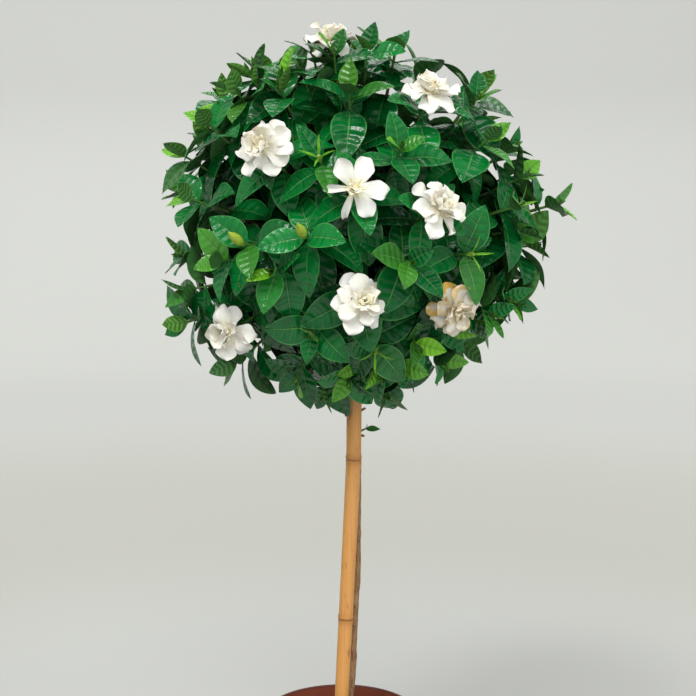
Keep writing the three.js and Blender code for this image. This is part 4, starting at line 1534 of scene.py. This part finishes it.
class Room:
    """Keeps what is in place, so that a new blade can be set clear of it."""

    # Where along a blade its width is tested, and how wide its sheet is there as a share of the widest half width.
    STATIONS = ((0.12, 0.25), (0.36, 0.7), (0.66, 0.64), (0.92, 0.02))
    SHEET = [(3 * r + c, 3 * r + c + 1, 3 * r + c + 4, 3 * r + c + 3) for r in range(3) for c in (0, 1)]
    TUBE = [(0, 1, 4, 3), (1, 2, 5, 4), (2, 0, 3, 5)]

    def __init__(self) -> None:
        """Starts empty."""
        self.trees: list[BVHTree] = []
        self.low: list[Vector] = []
        self.high: list[Vector] = []

    @staticmethod
    def _boxed(points: Sequence[Vector], cells: Sequence) -> tuple[BVHTree, Vector, Vector]:
        """Returns a tree of some faces, and the two ends of their box."""
        low, high = (Vector([end(p[k] for p in points) for k in range(3)]) for end in (min, max))
        return BVHTree.FromPolygons(points, cells), low, high

    def _sheet(self, blade: Blade) -> tuple[BVHTree, Vector, Vector]:
        """Returns a plain sheet along the middle of a blade to test with, and its box."""
        points = [blade.point(t, s, share) for t, share in self.STATIONS for s in (-1.0, 1e-9, 1.0)]
        return self._boxed(points, self.SHEET)

    def _keep(self, tree: BVHTree, low: Vector, high: Vector) -> None:
        """Puts a tree with its box in place."""
        self.trees.append(tree)
        self.low.append(low)
        self.high.append(high)

    def add(self, blade: Blade) -> None:
        """Puts a blade in place."""
        self._keep(*self._sheet(blade))

    def add_tube(self, line: Sequence[Vector], radius: float) -> None:
        """Puts a straight-sided stem in place.

        Args:
            line: The points it runs through.
            radius: How thick it is.
        """
        for start, end in zip(line, line[1:]):
            right, across = sides_of((end - start).normalized())
            ring = [(right * math.cos(a) + across * math.sin(a)) * radius for a in (0, 2.1, 4.2)]
            self._keep(*self._boxed([p + r for p in (start, end) for r in ring], self.TUBE))

    def has_room(self, blade: Blade) -> bool:
        """Returns whether a blade would stay in the solids' box and cross nothing that is in place."""
        tree, low, high = self._sheet(blade)
        if any(low[k] * MM < CAD_BOX[0][k] or high[k] * MM > CAD_BOX[1][k] for k in range(3)):
            return False
        near = np.all((np.array(self.low) <= np.array(high)) & (np.array(self.high) >= np.array(low)), axis=1)
        return not any(self.trees[k].overlap(tree) for k in np.flatnonzero(near))


# ---- blooms ----


@dataclass
class Blooms:
    """The white flowers."""

    outer: Whorl = Whorl(6, 28, 18, 6, 0.55, 2.6, -0.5)
    inner: Whorl = Whorl(3, 21, 16, 42, -0.3, 1.6, 1.2)
    second: Whorl = Whorl(6, 26, 19, 17, 0.5, 2.3, 0.2)
    middle: Whorl = Whorl(5, 20, 16, 48, 0.1, 1.7, 1.0)
    heart: Whorl = Whorl(5, 13.5, 11, 66, -0.5, 1.2, 1.8)
    # Petals are a little wider than their solids, because their outline is rounder.
    widening: float = 1.12
    ruffle: float = 0.19
    gap: float = 0.35
    tube: float = 13
    tube_radius: float = 2
    throat: float = 4.2
    solid_seed: int = 7000
    added_seed: int = 8000
    # The old bloom, which side of it browns the most, how far it browns at least and how much more there.
    fading: int = 7
    fading_side: Vector = field(default_factory=lambda: Vector((-0.55, 0, 0.83)))
    fades: tuple = (0.24, 0.7)
    fresh: float = 0.04
    # The two petals of the single bloom that have curled: which, how narrow, how folded and how much more arched.
    curled: tuple = (3, 4)
    curl: tuple = (0.55, 0.7, 0.5)
    # The single bloom's stigma, as distances along it and radii, and its anthers: how many and how steep.
    stigma: tuple = ((0, 1.0), (4, 1.1), (7, 1.9), (10, 2.0), (12.5, 0.9))
    anthers: tuple = (6, 14)

    def faded(self, way: Vector, number: int) -> float:
        """Returns how far the petal that runs one way has browned in a bloom."""
        least, more = self.fades
        return least + more * max(0.0, way.dot(self.fading_side)) if number == self.fading else self.fresh

    def petals(self, shoot: Shoot, throat: Vector, facing: Vector, number: int) -> list[Blade]:
        """Makes the petals of a bloom: the solid's own first, then the finer ones between them.

        Args:
            shoot: The shoot it is on.
            throat: The middle of its open end.
            facing: The way it looks.
            number: The bloom's number.

        Returns:
            The petals.
        """
        double = shoot.ends is End.BLOOM
        draw, made = Draws(self.solid_seed + shoot.index), []
        whorls = [(self.outer, 0, 0.0)] + ([(self.inner, 1, 0.9)] if double else [])
        for whorl, row, cream in whorls:
            for k in range(whorl.count):
                azimuth = math.tau * (k + 0.5 * row + 0.2 * (draw.next() - 0.5)) / whorl.count
                pitch = math.radians(whorl.pitch + draw.between(-9, 9))
                size = draw.between(0.9, 1.1)
                along, upper = blade_frame(facing, azimuth, pitch, math.radians(draw.between(-14, 14)))
                arch = whorl.arch + draw.between(-0.25, 0.25)
                made.append(self.petal(whorl, throat, facing, along, upper, size, arch, draw.between(0.05, 0.3)))
                made[-1].look = (cream * 0.5, self.faded(along, number), 0.0)
                if not double and k in self.curled:
                    made[-1].width *= self.curl[0]
                    made[-1].fold, made[-1].arch = self.curl[1], arch + self.curl[2]
        more = Draws(self.added_seed + shoot.index)
        whorls = ((self.second, 0.5, 0.1), (self.middle, 0.3, 0.3), (self.heart, 0.2, 1.0))
        for whorl, row, cream in whorls if double else whorls[2:]:
            for k in range(whorl.count):
                azimuth = math.tau * (k + row + 0.3 * (more.next() - 0.5)) / whorl.count
                pitch = math.radians(whorl.pitch + more.between(-14, 14))
                along, upper = blade_frame(facing, azimuth, pitch, math.radians(more.between(-26, 26)))
                arch = whorl.arch + more.between(-0.45, 0.45)
                size = more.between(0.78, 1.12)
                made.append(self.petal(whorl, throat, facing, along, upper, size, arch, more.between(0.15, 0.55)))
                made[-1].look = (cream, self.faded(along, number) * 0.8, 0.0)
        return made

    def petal(
        self,
        whorl: Whorl,
        throat: Vector,
        facing: Vector,
        along: Vector,
        upper: Vector,
        size: float,
        arch: float,
        fold: float,
    ) -> Blade:
        """Makes one petal of a whorl.

        Args:
            whorl: The whorl.
            throat, facing: The bloom's throat and the way it looks.
            along, upper: How the petal lies.
            size: How much bigger it is than its whorl's.
            arch, fold: How it is bent.

        Returns:
            The petal.
        """
        root, width = whorl.root(throat, facing, along), whorl.width * size * self.widening
        return Blade(root, along, upper, whorl.length * size, width, arch, fold, 0.0, self.ruffle)

    def stamens(self, throat: Vector, facing: Vector, azimuth: float) -> list[Twig]:
        """Makes the club-shaped stigma and the anthers that lie round it.

        Args:
            throat, facing: The bloom's throat and the way it looks.
            azimuth: Where the first anther is.

        Returns:
            The twigs.
        """
        made = [Twig.spindle(throat, facing, self.stigma, 1.0, 1.0)]
        count, pitch = self.anthers
        for k in range(count):
            along, _ = blade_frame(facing, azimuth + math.tau * (k + 0.5) / count, math.radians(pitch), 0.0)
            points = [throat + facing * 2 + along * a for a in (2.5, 5, 8.5, 11)]
            made.append(Twig.plain(points, [0.4, 0.8, 0.8, 0.3], 1.0, 0.8))
        return made

    def build(self, grower: Grower, sprays: list[Spray], room: Room) -> None:
        """Grows every bloom into its piece, and puts its petals in place for the leaves to keep clear of.

        Args:
            grower: What grows them.
            sprays: The sprays they are on.
            room: What is in place.
        """
        number = 0
        for shoot in (s for spray in sprays for s in spray.shoots if s.faces):
            number += 1
            facing = heading(*shoot.faces)
            foot = shoot.tip + shoot.axis * self.gap
            bend = (shoot.axis + facing).normalized()
            throat = foot + bend * self.tube
            petals = self.petals(shoot, throat, facing, number)
            for petal in petals:
                room.add(petal)
            line = [foot, foot.lerp(throat, 0.4) + (shoot.axis - facing) * 0.5, throat - facing * 3, throat]
            line.append(throat + facing * 2.4)
            radii = [self.tube_radius, self.tube_radius, self.tube_radius * 1.15, self.throat, self.throat * 0.5]
            twigs = [Twig(line, radii, [(0.7, c, 0) for c in (0.1, 0.3, 0.8, 1.0, 1.0)])]
            if shoot.ends is End.SINGLE:
                twigs += self.stamens(throat, facing, 0.4)
            made = grower.grow(f"bloom_{number:02d}_petals", petals, twigs, Form.PETAL)
            hand_over(made, "petal", f"bloom_{number:02d}")


# ---- wood and cane ----


class RodTree(GeometryGraph):
    """Turns lines with a thickness into round rods with a grown, uneven surface."""

    def __init__(self) -> None:
        """Writes the tree."""
        inputs = dict.fromkeys(("Step", "Gnarl", "Grain"), "Float")
        super().__init__("grown_rods", {"Sides": "Int", **inputs, "Finish": "Material"})
        line = self.node("GeometryNodeMeshToCurve", {"Mesh": self.given("Geometry")})
        fine = self.node("GeometryNodeResampleCurve", {"Curve": line, "Length": self.given("Step")}, mode="LENGTH")
        rods = self.tubes(fine)
        place = self.node("GeometryNodeInputPosition", {}) * (1.0, 1.0, 0.35)
        lumps = self.noise(place, 1.0, 3)
        self.tree.links.new(self.given("Grain").socket, lumps.socket.node.inputs["Scale"])
        normal = self.node("GeometryNodeInputNormal", {})
        offset = normal * ((lumps - 0.5) * self.given("Gnarl") * self.stored("thick", "FLOAT"))
        grown = self.node("GeometryNodeSetPosition", {"Geometry": rods, "Offset": offset})
        smooth = self.node("GeometryNodeSetShadeSmooth", {"Geometry": grown})
        self.end(self.dressed(smooth, "Finish"))


@dataclass
class Cane:
    """The bamboo stake."""

    line: tuple = ((-6.5, -7, 26), (-4, -7, 84), (5, -7, 261), (13.6, -7, 438), (15, -7.5, 615), (15.2, -7.5, 652))
    knots: tuple = (84, 261, 438, 615)
    foot: float = 7.3
    head: float = 8.3
    # Distances between its rings of points: between the knots, and within some reach of each.
    step: float = 6.0
    knot_step: float = 0.5
    knot_reach: float = 9
    # What a knot adds to the radius: how far above it, how long and how high a band, a lip and a groove are.
    knot_hills: tuple = ((0, 4.2, 0.55), (1.3, 0.8, 0.5), (-1.2, 0.55, -0.75))
    # How far above the knot and how long its browner stretch and its ring mark are.
    knot_tones: tuple = ((0, 6.5), (-1.2, 0.7))

    def build(self, rods: RodTree) -> None:
        """Builds the cane: at each knot a swollen band with a sharp ring mark over a fine groove."""
        low, high = self.line[0][2], self.line[-1][2]
        heights = {low, high, *(float(z) for z in np.arange(low, high, self.step))}
        for knot in self.knots:
            heights |= {knot + d for d in np.arange(-self.knot_reach, self.knot_reach + 0.01, self.knot_step)}
        points, radii, tones = [], [], []
        for z in sorted(h for h in heights if low <= h <= high):
            off = min(((z - knot) for knot in self.knots), key=abs)
            points.append(at_height(self.line, z))
            plain = mixed(self.foot, self.head, (z - low) / (high - low))
            radii.append(sum((hill(off, at, width) * size for at, width, size in self.knot_hills), plain))
            tones.append((*(hill(off, *place) for place in self.knot_tones), 0.0))
        made = Grower.lines("cane_of_bamboo", [Twig(points, radii, tones)])
        rods.run(made, Sides=40, Step=0.0009, Gnarl=0.05, Grain=60.0, Finish=BAMBOO.made())
        hand_over(made, "bamboo", "cane")


@dataclass
class Wood:
    """The trunk with its limbs and the branches to every spray."""

    line: tuple = (
        (4.5, 8, 40), (5.5, 8, 140), (8, 8, 171), (10.6, 7.6, 192), (13, 7.8, 258), (16.2, 8.2, 313),
        (16.6, 8.8, 400), (15.8, 8.6, 490), (16.4, 9.2, 566), (14.4, 8.6, 640), (15.6, 3, 716),
    )
    foot: float = 6.4
    head: float = 4.4
    limb: float = 3.4
    limb_end: float = 2.8
    branch: float = 1.7
    stem: float = 1.8
    gap: float = 0.35
    # The main limbs: the height each leaves the trunk at, its heading and its reach in the crown.
    limb_ends: tuple = (
        (580, -64, -22, 92), (586, 64, -24, 92), (596, 128, -30, 88), (602, -136, -26, 88), (668, -14, -26, 84),
        (690, 44, 16, 84), (684, -52, 18, 84), (672, 98, 14, 84), (662, -108, 20, 84), (676, 176, 10, 84),
        (708, 0, 74, 78),
    )
    # Pruned stubs: the height of each, its heading and its length.
    stubs: tuple = ((484, 64, 30, 13), (461, 80, -10, 9.5), (480, -74, 12, 12.5))
    # Where the trunk swells, and how far up and down and how much.
    joints: tuple = (214, 296, 352, 431, 484, 461)
    joint: tuple = (3.2, 0.55)
    # How it widens down to the compost: the height that ends at, how far up it starts, and how much.
    collar: tuple = (136, 9, 1.3)
    sections: int = 240
    # How far along the outer half of a limb a branch may start.
    starts: tuple = (0.35, 0.7, 0.97)

    def limbs(self, crown: Crown) -> list[list[Vector]]:
        """Returns the three points of each main limb."""
        made = []
        for level, longitude, latitude, reach in self.limb_ends:
            start = at_height(self.line, level)
            end = crown.centre + heading(longitude, latitude) * reach
            made.append([start, start.lerp(end, 0.5) - UP * 6, end])
        return made

    @staticmethod
    def clear_of(cane: Cane, start: Vector, end: Vector) -> float:
        """Returns the distance from the cane's middle line to the nearest point of a straight twig."""
        points = [start.lerp(end, k * 0.05) for k in range(21)]
        return min((p - at_height(cane.line, min(p.z, cane.line[-1][2]))).length for p in points)

    def branches(self, sprays: list[Spray], limbs: list[list[Vector]], cane: Cane) -> list[list[Vector]]:
        """Finds the branch from the handiest limb to the foot of each spray.

        Args:
            sprays: The sprays.
            limbs: The limbs' points.
            cane: The cane, which they keep clear of.

        Returns:
            The three points of each branch.
        """
        starts = [middle.lerp(tip, t) for _, middle, tip in limbs for t in self.starts]
        made = []
        for spray in sprays:
            end = spray.foot - spray.axis * self.gap
            knee = end - spray.axis * 7
            clear = [s for s in starts if self.clear_of(cane, s, knee) > cane.head + self.branch + 2]
            best = min(clear, key=lambda s: (s - knee).length * (1 + (knee - s).angle(spray.axis)))
            made.append([best, knee, end])
        return made

    def build(self, rods: RodTree, crown: Crown, sprays: list[Spray], cane: Cane, room: Room) -> None:
        """Builds the wood as rods that run into each other, and puts it in place.

        Args:
            rods: The tree for rods.
            crown, sprays: What it carries.
            cane: What it keeps clear of.
            room: What is in place.
        """
        rows = [Vector(row) for row in self.line]
        trunk, radii = [], []
        for k in range(self.sections + 1):
            z = mixed(rows[0].z, rows[-1].z, k / self.sections)
            near = [at_height(self.line, z + d) for d in (-12, -6, 0, 6, 12)]
            point = sum(near, Vector()) / len(near)
            point.z = z
            row = next((i for i in range(len(rows) - 1) if rows[i + 1].z >= z), len(rows) - 2)
            share = (row + (z - rows[row].z) / (rows[row + 1].z - rows[row].z)) / (len(rows) - 1)
            joint = sum(hill(z, level, self.joint[0]) for level in self.joints) * self.joint[1]
            flare = self.collar[2] * hill(z, *self.collar[:2]) if z > self.collar[0] else 1.0
            trunk.append(point)
            radii.append(mixed(self.foot, self.head, share) + joint + flare * 0.4)
        limbs = self.limbs(crown)
        twigs = [Twig.plain(trunk, radii)]
        twigs += [Twig.plain(points, [self.limb, (self.limb + self.limb_end) / 2, self.limb_end]) for points in limbs]
        branches = self.branches(sprays, limbs, cane)
        for points in branches:
            twigs.append(Twig.plain(points, [self.branch, self.stem * 1.1, self.stem]))
        for level, longitude, latitude, length in self.stubs:
            start = at_height(self.line, level)
            twigs.append(Twig.plain([start, start + heading(longitude, latitude) * length], [2.2, 1.1]))
        for points in (*limbs, *branches):
            room.add_tube(points, self.branch)
        made = Grower.lines("wood_of_stem", twigs)
        rods.run(made, Sides=14, Step=0.0024, Gnarl=0.34, Grain=210.0, Finish=BARK.made())
        hand_over(made, "bark", "wood")


# ---- pot, compost, tie and the little sprout ----


@dataclass
class Pot:
    """The thin pot that the plant stands in."""

    height: float = 150
    rim: float = 85
    foot: float = 60
    wall: float = 2
    floor: float = 3
    collar: float = 24
    step: float = 2.6
    lip: float = 3
    # Drain holes: how many, how wide and how far from the middle.
    drains: tuple = (5, 5, 38)
    drain_sides: int = 20
    sides: int = 120

    def radius(self, z: float) -> float:
        """Returns the radius of the plain sloping wall at a height."""
        return mixed(self.foot, self.rim - self.step, z / self.height)

    def profile(self) -> list[tuple[float, float]]:
        """Returns the section from the middle of its underside, out, up and back in to the middle of its floor."""
        top, band = self.height, self.height - self.collar
        outer = [(0, 0.8), (self.foot - 9, 0.8), (self.foot - 7, 0), (self.foot - 2, 0), (self.foot - 0.7, 0.5)]
        outer += [(self.radius(z), z) for z in (2, 30, 60, 90, band - 3)]
        outer += [(self.radius(band) + 0.1, band - 1), (self.radius(band) + self.step * 0.7, band + 0.4)]
        outer += [(self.radius(band) + self.step, band + 2), (self.rim - 0.9, top - self.lip - 3.5)]
        roll = [(self.rim - 0.6, top - self.lip), (self.rim, top - 2.2), (self.rim - 0.05, top - 1.0)]
        roll += [(self.rim - 0.6, top - 0.25), (self.rim - 1.5, top), (self.rim - 2.5, top - 0.2)]
        roll += [(self.rim - 3.2, top - 0.8), (self.rim - 3.4, top - 1.6)]
        inner = [(self.radius(band) + self.step - self.wall, band + 1), (self.radius(band) - self.wall, band - 1)]
        inner += [(self.radius(z) - self.wall, z) for z in (90, 60, 30)]
        inner += [(self.radius(self.floor) - self.wall - 2, self.floor), (0, self.floor)]
        return outer + roll + inner

    def build(self) -> None:
        """Builds the pot as a turned shell with drain holes through its floor."""
        points, faces = turned(self.profile(), self.sides, flipped=True)
        made = mesh_object("pot_of_terracotta", [(x * MM, y * MM, z * MM) for x, y, z in points], faces)
        cutter = mesh_object("drains", *self._drain_pins(*self.drains))
        cut = made.modifiers.new("drains", "BOOLEAN")
        cut.operation, cut.object, cut.solver = "DIFFERENCE", cutter, "EXACT"
        made.data.materials.append(TERRACOTTA.made())
        apply_all(made)
        bpy.data.objects.remove(cutter)
        self.soften(made)
        hand_over(made, "terracotta", "pot")

    def _drain_pins(self, count: int, radius: float, ring: float) -> tuple[list, list]:
        """Makes the pins that cut the drain holes.

        Args:
            count: How many they are.
            radius: How thick each is.
            ring: How far from the middle they stand.

        Returns:
            Their points and faces.
        """
        points, faces = [], []
        for pin in range(count):
            middle, first = math.tau * (pin + 0.5) / count, len(points)
            corners, walls = turned([(radius, -2), (radius, self.floor + 2)], self.drain_sides, flipped=True)
            for x, y, z in corners:
                points.append(((ring * math.cos(middle) + x) * MM, (ring * math.sin(middle) + y) * MM, z * MM))
            ends = range(first, first + self.drain_sides)
            faces += [tuple(ends)[::-1], tuple(k + self.drain_sides for k in ends)]
            faces += [tuple(first + k for k in wall) for wall in walls]
        return points, faces

    @staticmethod
    def soften(made: bpy.types.Object, sharpest: float = 40) -> None:
        """Shades a mesh smooth, but for edges sharper than some angle."""
        made.data.shade_smooth()
        sharp = made.data.attributes.get("sharp_edge") or made.data.attributes.new("sharp_edge", "BOOLEAN", "EDGE")
        work = bmesh.new()
        work.from_mesh(made.data)
        angles = [edge.calc_face_angle(0.0) > math.radians(sharpest) for edge in work.edges]
        work.free()
        sharp.data.foreach_set("value", angles)


@dataclass
class Compost:
    """The filling of the pot, with crumbs over its top."""

    below: float = 14
    gap: float = 0.35
    rings: int = 14
    sides: int = 72
    # The lumps of its top: how fine, which part of the noise, and how high.
    lumps: tuple = ((0.09, 7, 1.5), (0.3, 3, 0.9))
    # How many crumbs a square metre and how large, in metres.
    crumbs: float = 5200.0
    largest: float = 0.0042

    def build(self, pot: Pot) -> None:
        """Builds the filling and scatters the crumbs.

        Args:
            pot: The pot that it fills.
        """
        top, lowest = pot.height - self.below, pot.height - pot.collar - 2
        slack = pot.wall + self.gap * 1.6
        edge = pot.radius(lowest) - slack
        rows = [(edge * k / self.rings, top + 0.4) for k in range(1, self.rings + 1)]
        rows += [(edge, lowest), (pot.radius(pot.floor) - slack - 2.4, pot.floor + self.gap)]
        points, faces = turned([(0, top + 1.5), *rows], self.sides)
        for k in range(1, 1 + self.rings * self.sides):
            x, y, z = points[k]
            raised = sum(noise.noise(Vector((x, y, part)) * scale) * size for scale, part, size in self.lumps)
            points[k] = (x, y, z + raised)
        faces.append(tuple(range(len(points) - self.sides, len(points)))[::-1])
        made = mesh_object("compost_filling", [Vector(p) * MM for p in points], faces)
        crumb = self._crumb()
        tree = self._tree()
        values = {"Crumb": crumb, "Density": self.crumbs, "Largest": self.largest, "Seed": 5}
        tree.run(made, Level=(top - 3) * MM, Finish=COMPOST.made(), **values)
        bpy.data.objects.remove(crumb)
        hand_over(made, "compost", "soil")

    @staticmethod
    def _crumb() -> bpy.types.Object:
        """Returns one uneven crumb, a unit across."""
        work = bmesh.new()
        bmesh.ops.create_icosphere(work, subdivisions=1, radius=0.5)
        for corner in work.verts:
            corner.co *= 1 + 0.5 * noise.noise(corner.co * 3.1)
        made = mesh_object("crumb", [])
        work.to_mesh(made.data)
        work.free()
        return made

    @staticmethod
    def _tree() -> GeometryGraph:
        """Returns the tree that scatters crumbs over the top of the filling."""
        inputs = {"Crumb": "Object", **dict.fromkeys(("Density", "Largest", "Level"), "Float"), "Seed": "Int"}
        tree = GeometryGraph("scattered_crumbs", {**inputs, "Finish": "Material"})
        _, _, up = tree.node("GeometryNodeInputNormal", {}).parts
        _, _, height = tree.node("GeometryNodeInputPosition", {}).parts
        above = tree.node("FunctionNodeCompare", {0: height, 1: tree.given("Level")}, operation="GREATER_THAN")
        is_up = tree.node("FunctionNodeCompare", {0: up, 1: 0.5}, operation="GREATER_THAN")
        both = tree.node("FunctionNodeBooleanMath", {0: above, 1: is_up}, operation="AND")
        values = {"Mesh": tree.given("Geometry"), "Selection": both, "Seed": tree.given("Seed")}
        dots = tree.node("GeometryNodeDistributePointsOnFaces", {**values, "Density": tree.given("Density")})
        spread = {"Min": (0.0, 0.0, 0.0), "Max": (math.tau,) * 3, "Seed": 3}
        spin = tree.node("FunctionNodeRandomValue", spread, data_type="FLOAT_VECTOR")
        size = tree.node("FunctionNodeRandomValue", {"Seed": 8}, 1, data_type="FLOAT")
        scale = (size * size * 0.75 + 0.25) * tree.given("Largest")
        values = {"Points": dots, "Instance": tree.shape_of("Crumb"), "Rotation": spin, "Scale": scale}
        placed = tree.node("GeometryNodeInstanceOnPoints", values)
        whole = tree.join(tree.given("Geometry"), placed)
        real = tree.node("GeometryNodeRealizeInstances", {"Geometry": whole})
        smooth = tree.node("GeometryNodeSetShadeSmooth", {"Geometry": real})
        tree.end(tree.dressed(smooth, "Finish"))
        return tree


@dataclass
class Tie:
    """The soft band that holds the trunk to the cane, inside the underside of the head."""

    level: float = 536
    # How many steps it has round the cane and round the stem.
    steps: tuple = (24, 16)
    height: float = 5
    thick: float = 1.4
    slack: float = 0.5
    stem_radius: float = 4.9
    # Its rounded section: how far out as a share of its thickness, and how far up.
    section: tuple = ((0, -1), (0, 1), (0.25, 1.15), (0.75, 1.15), (1, 1), (1, -1), (0.75, -1.15), (0.25, -1.15))

    def build(self, cane: Cane, wood: Wood) -> None:
        """Builds the band: a rounded strip round both.

        Args:
            cane, wood: What it is tied round.
        """
        near, far = at_height(cane.line, self.level), at_height(wood.line, self.level)
        near_radius, far_radius = cane.head + self.slack, self.stem_radius + self.slack
        way = math.atan2(far.y - near.y, far.x - near.x)
        lean = math.acos((near_radius - far_radius) / (far - near).length)
        path, (near_steps, far_steps) = [], self.steps
        for k in range(near_steps + 1):
            path.append((near, mixed(way + lean, way + math.tau - lean, k / near_steps), near_radius))
        for k in range(far_steps + 1):
            path.append((far, mixed(way - lean, way + lean, k / far_steps), far_radius))
        points, faces, around = [], [], len(self.section)
        for row, (centre, turn, radius) in enumerate(path):
            for out, up in self.section:
                reach = radius + out * self.thick
                z = self.level + up * self.height / 2.3
                points.append(Vector((centre.x + reach * math.cos(turn), centre.y + reach * math.sin(turn), z)) * MM)
            after = (row + 1) % len(path)
            for k in range(around):
                a, b = row * around + k, row * around + (k + 1) % around
                faces.append((a, b, after * around + (k + 1) % around, after * around + k))
        made = mesh_object("tie_of_band", points, faces)
        made.data.materials.append(BAND.made())
        work = bmesh.new()
        work.from_mesh(made.data)
        bmesh.ops.recalc_face_normals(work, faces=work.faces)
        work.to_mesh(made.data)
        work.free()
        Pot.soften(made, 50)
        hand_over(made, "tie_band", "tie")


@dataclass
class Sprout:
    """The little leaf on a twig of the trunk, and a furled one behind it."""

    # Headings: of the twig, of the leaf and of the leaf's upper face.
    way: tuple = (72, 28)
    leaf_way: tuple = (78, 8)
    leaf_face: tuple = (-12, 38)
    level: float = 462
    reach: float = 13
    length: float = 17
    width: float = 7.5

    def build(self, grower: Grower, wood: Wood) -> None:
        """Builds the sprout.

        Args:
            grower: What grows it.
            wood: The trunk that it springs from.
        """
        start, way = at_height(wood.line, self.level), heading(*self.way)
        end = start + way * self.reach
        along, upper = heading(*self.leaf_way), heading(*self.leaf_face)
        upper = (upper - along * upper.dot(along)).normalized()
        # The looks of both leaves: brightness, youth and painted shade.
        bends, look = (0.5, 0.1, 0.0, 0.03), (0.6, 0.15, 0.2)
        blades = [Blade(end - way * 1.5, along, upper, self.length, self.width, *bends, look)]
        low, high = blade_frame(way, 1.2, math.radians(60), 0.0)
        blades.append(Blade(end - way * 1.5, low, high, 6.5, 2.4, 0.4, 0.3, 0.0, 0.0, (0.7, 0.5, 0.1), True))
        twig = Twig.plain([start, start.lerp(end, 0.5), end], [1.3, 1.1, 0.8], 0.25)
        hand_over(grower.grow("trunk_sprout_leaf", blades, [twig]), "leaf", "trunk_sprout")


# ---- studio ----


@dataclass
class Lamp:
    """A soft far light: the heading it comes from, how wide and how strong it is."""

    name: str
    longitude: float
    latitude: float
    width: float
    power: float

    def build(self) -> None:
        """Makes the light."""
        data = bpy.data.lights.new(self.name, "SUN")
        data.angle, data.energy = math.radians(self.width), self.power
        made = bpy.data.objects.new(self.name, data)
        made.rotation_euler = (-heading(self.longitude, self.latitude)).to_track_quat("-Z", "Y").to_euler()
        bpy.context.scene.collection.objects.link(made)


@dataclass
class Studio:
    """The camera, the pale sweep of paper and the soft lights."""

    lens: float = 73.66
    sensor: float = 36
    clip: tuple = (0.05, 60)
    eye: tuple = (0.0075, -1.5, 0.767)
    pitch: float = 8.0
    floor_reach: float = 3.2
    wall_reach: float = 4.2
    wall_height: float = 5.0
    sides: int = 96
    ambient: float = 0.19
    sky: tuple = (0.96, 0.98, 1.0, 1.0)
    # Their names, longitudes, latitudes, widths in degrees and strengths.
    lamps: tuple = (
        Lamp("key_light", -12, 46, 48, 1.8),
        Lamp("window_light", -34, 52, 13, 0.7),
        Lamp("front_light", 14, -12, 50, 0.9),
        Lamp("right_light", 70, 30, 60, 1.2),
        Lamp("left_light", -80, 26, 60, 0.4),
        Lamp("back_light", 172, 46, 46, 1.5),
    )

    def build(self) -> None:
        """Sets up the studio."""
        scene = bpy.context.scene
        data = bpy.data.cameras.new("camera")
        data.lens, data.sensor_width = self.lens, self.sensor
        data.clip_start, data.clip_end = self.clip
        camera = bpy.data.objects.new("camera", data)
        camera.location = self.eye
        camera.rotation_euler = (math.radians(90 - self.pitch), 0, 0)
        scene.collection.objects.link(camera)
        scene.camera = camera
        for lamp in self.lamps:
            lamp.build()
        world = bpy.data.worlds.new("studio")
        world.use_nodes = True
        back = world.node_tree.nodes["Background"]
        back.inputs["Color"].default_value = self.sky
        back.inputs["Strength"].default_value = self.ambient
        scene.world = world
        scene.view_settings.view_transform = "Standard"
        scene.view_settings.look = "None"
        self.sweep()

    def sweep(self) -> None:
        """Builds the paper: a round floor that turns up softly into a wall all round."""
        profile = [(r, 0.0) for r in (0.0, 0.4, 0.8, 1.2, 1.6, 2.0, 2.4, 2.8, self.floor_reach)]
        turn = self.wall_reach - self.floor_reach
        for angle in radians(*(7.5 * k for k in range(1, 13))):
            profile.append((self.floor_reach + turn * math.sin(angle), turn * (1 - math.cos(angle))))
        made = mesh_object("studio_paper", *turned([*profile, (self.wall_reach, self.wall_height)], self.sides))
        made.data.materials.append(PAPER.made())
        made.visible_diffuse = made.visible_shadow = False


def main() -> None:
    """Builds the whole scene."""
    logging.basicConfig(level=logging.INFO, format="%(name)s: %(message)s")
    crown, cane, wood, pot = Crown(), Cane(), Wood(), Pot()
    grower, rods, room = Grower(), RodTree(), Room()
    sprays = crown.sprays()
    log.info("leaves of the solids: %d", crown.solid_leaves(sprays))
    for spray in sprays:
        for blade in spray.blades:
            room.add(blade)
    Studio().build()
    pot.build()
    Compost().build(pot)
    cane.build(rods)
    wood.build(rods, crown, sprays, cane, room)
    Tie().build(cane, wood)
    Sprout().build(grower, wood)
    Blooms().build(grower, sprays, room)
    log.info("leaves added between: %d", crown.fill_between(sprays, room))
    log.info("leaves added further in: %d", crown.inner_leaves(sprays, room))
    crown.build(grower, sprays)
    grower.clear()


if __name__ == "__main__":
    main()
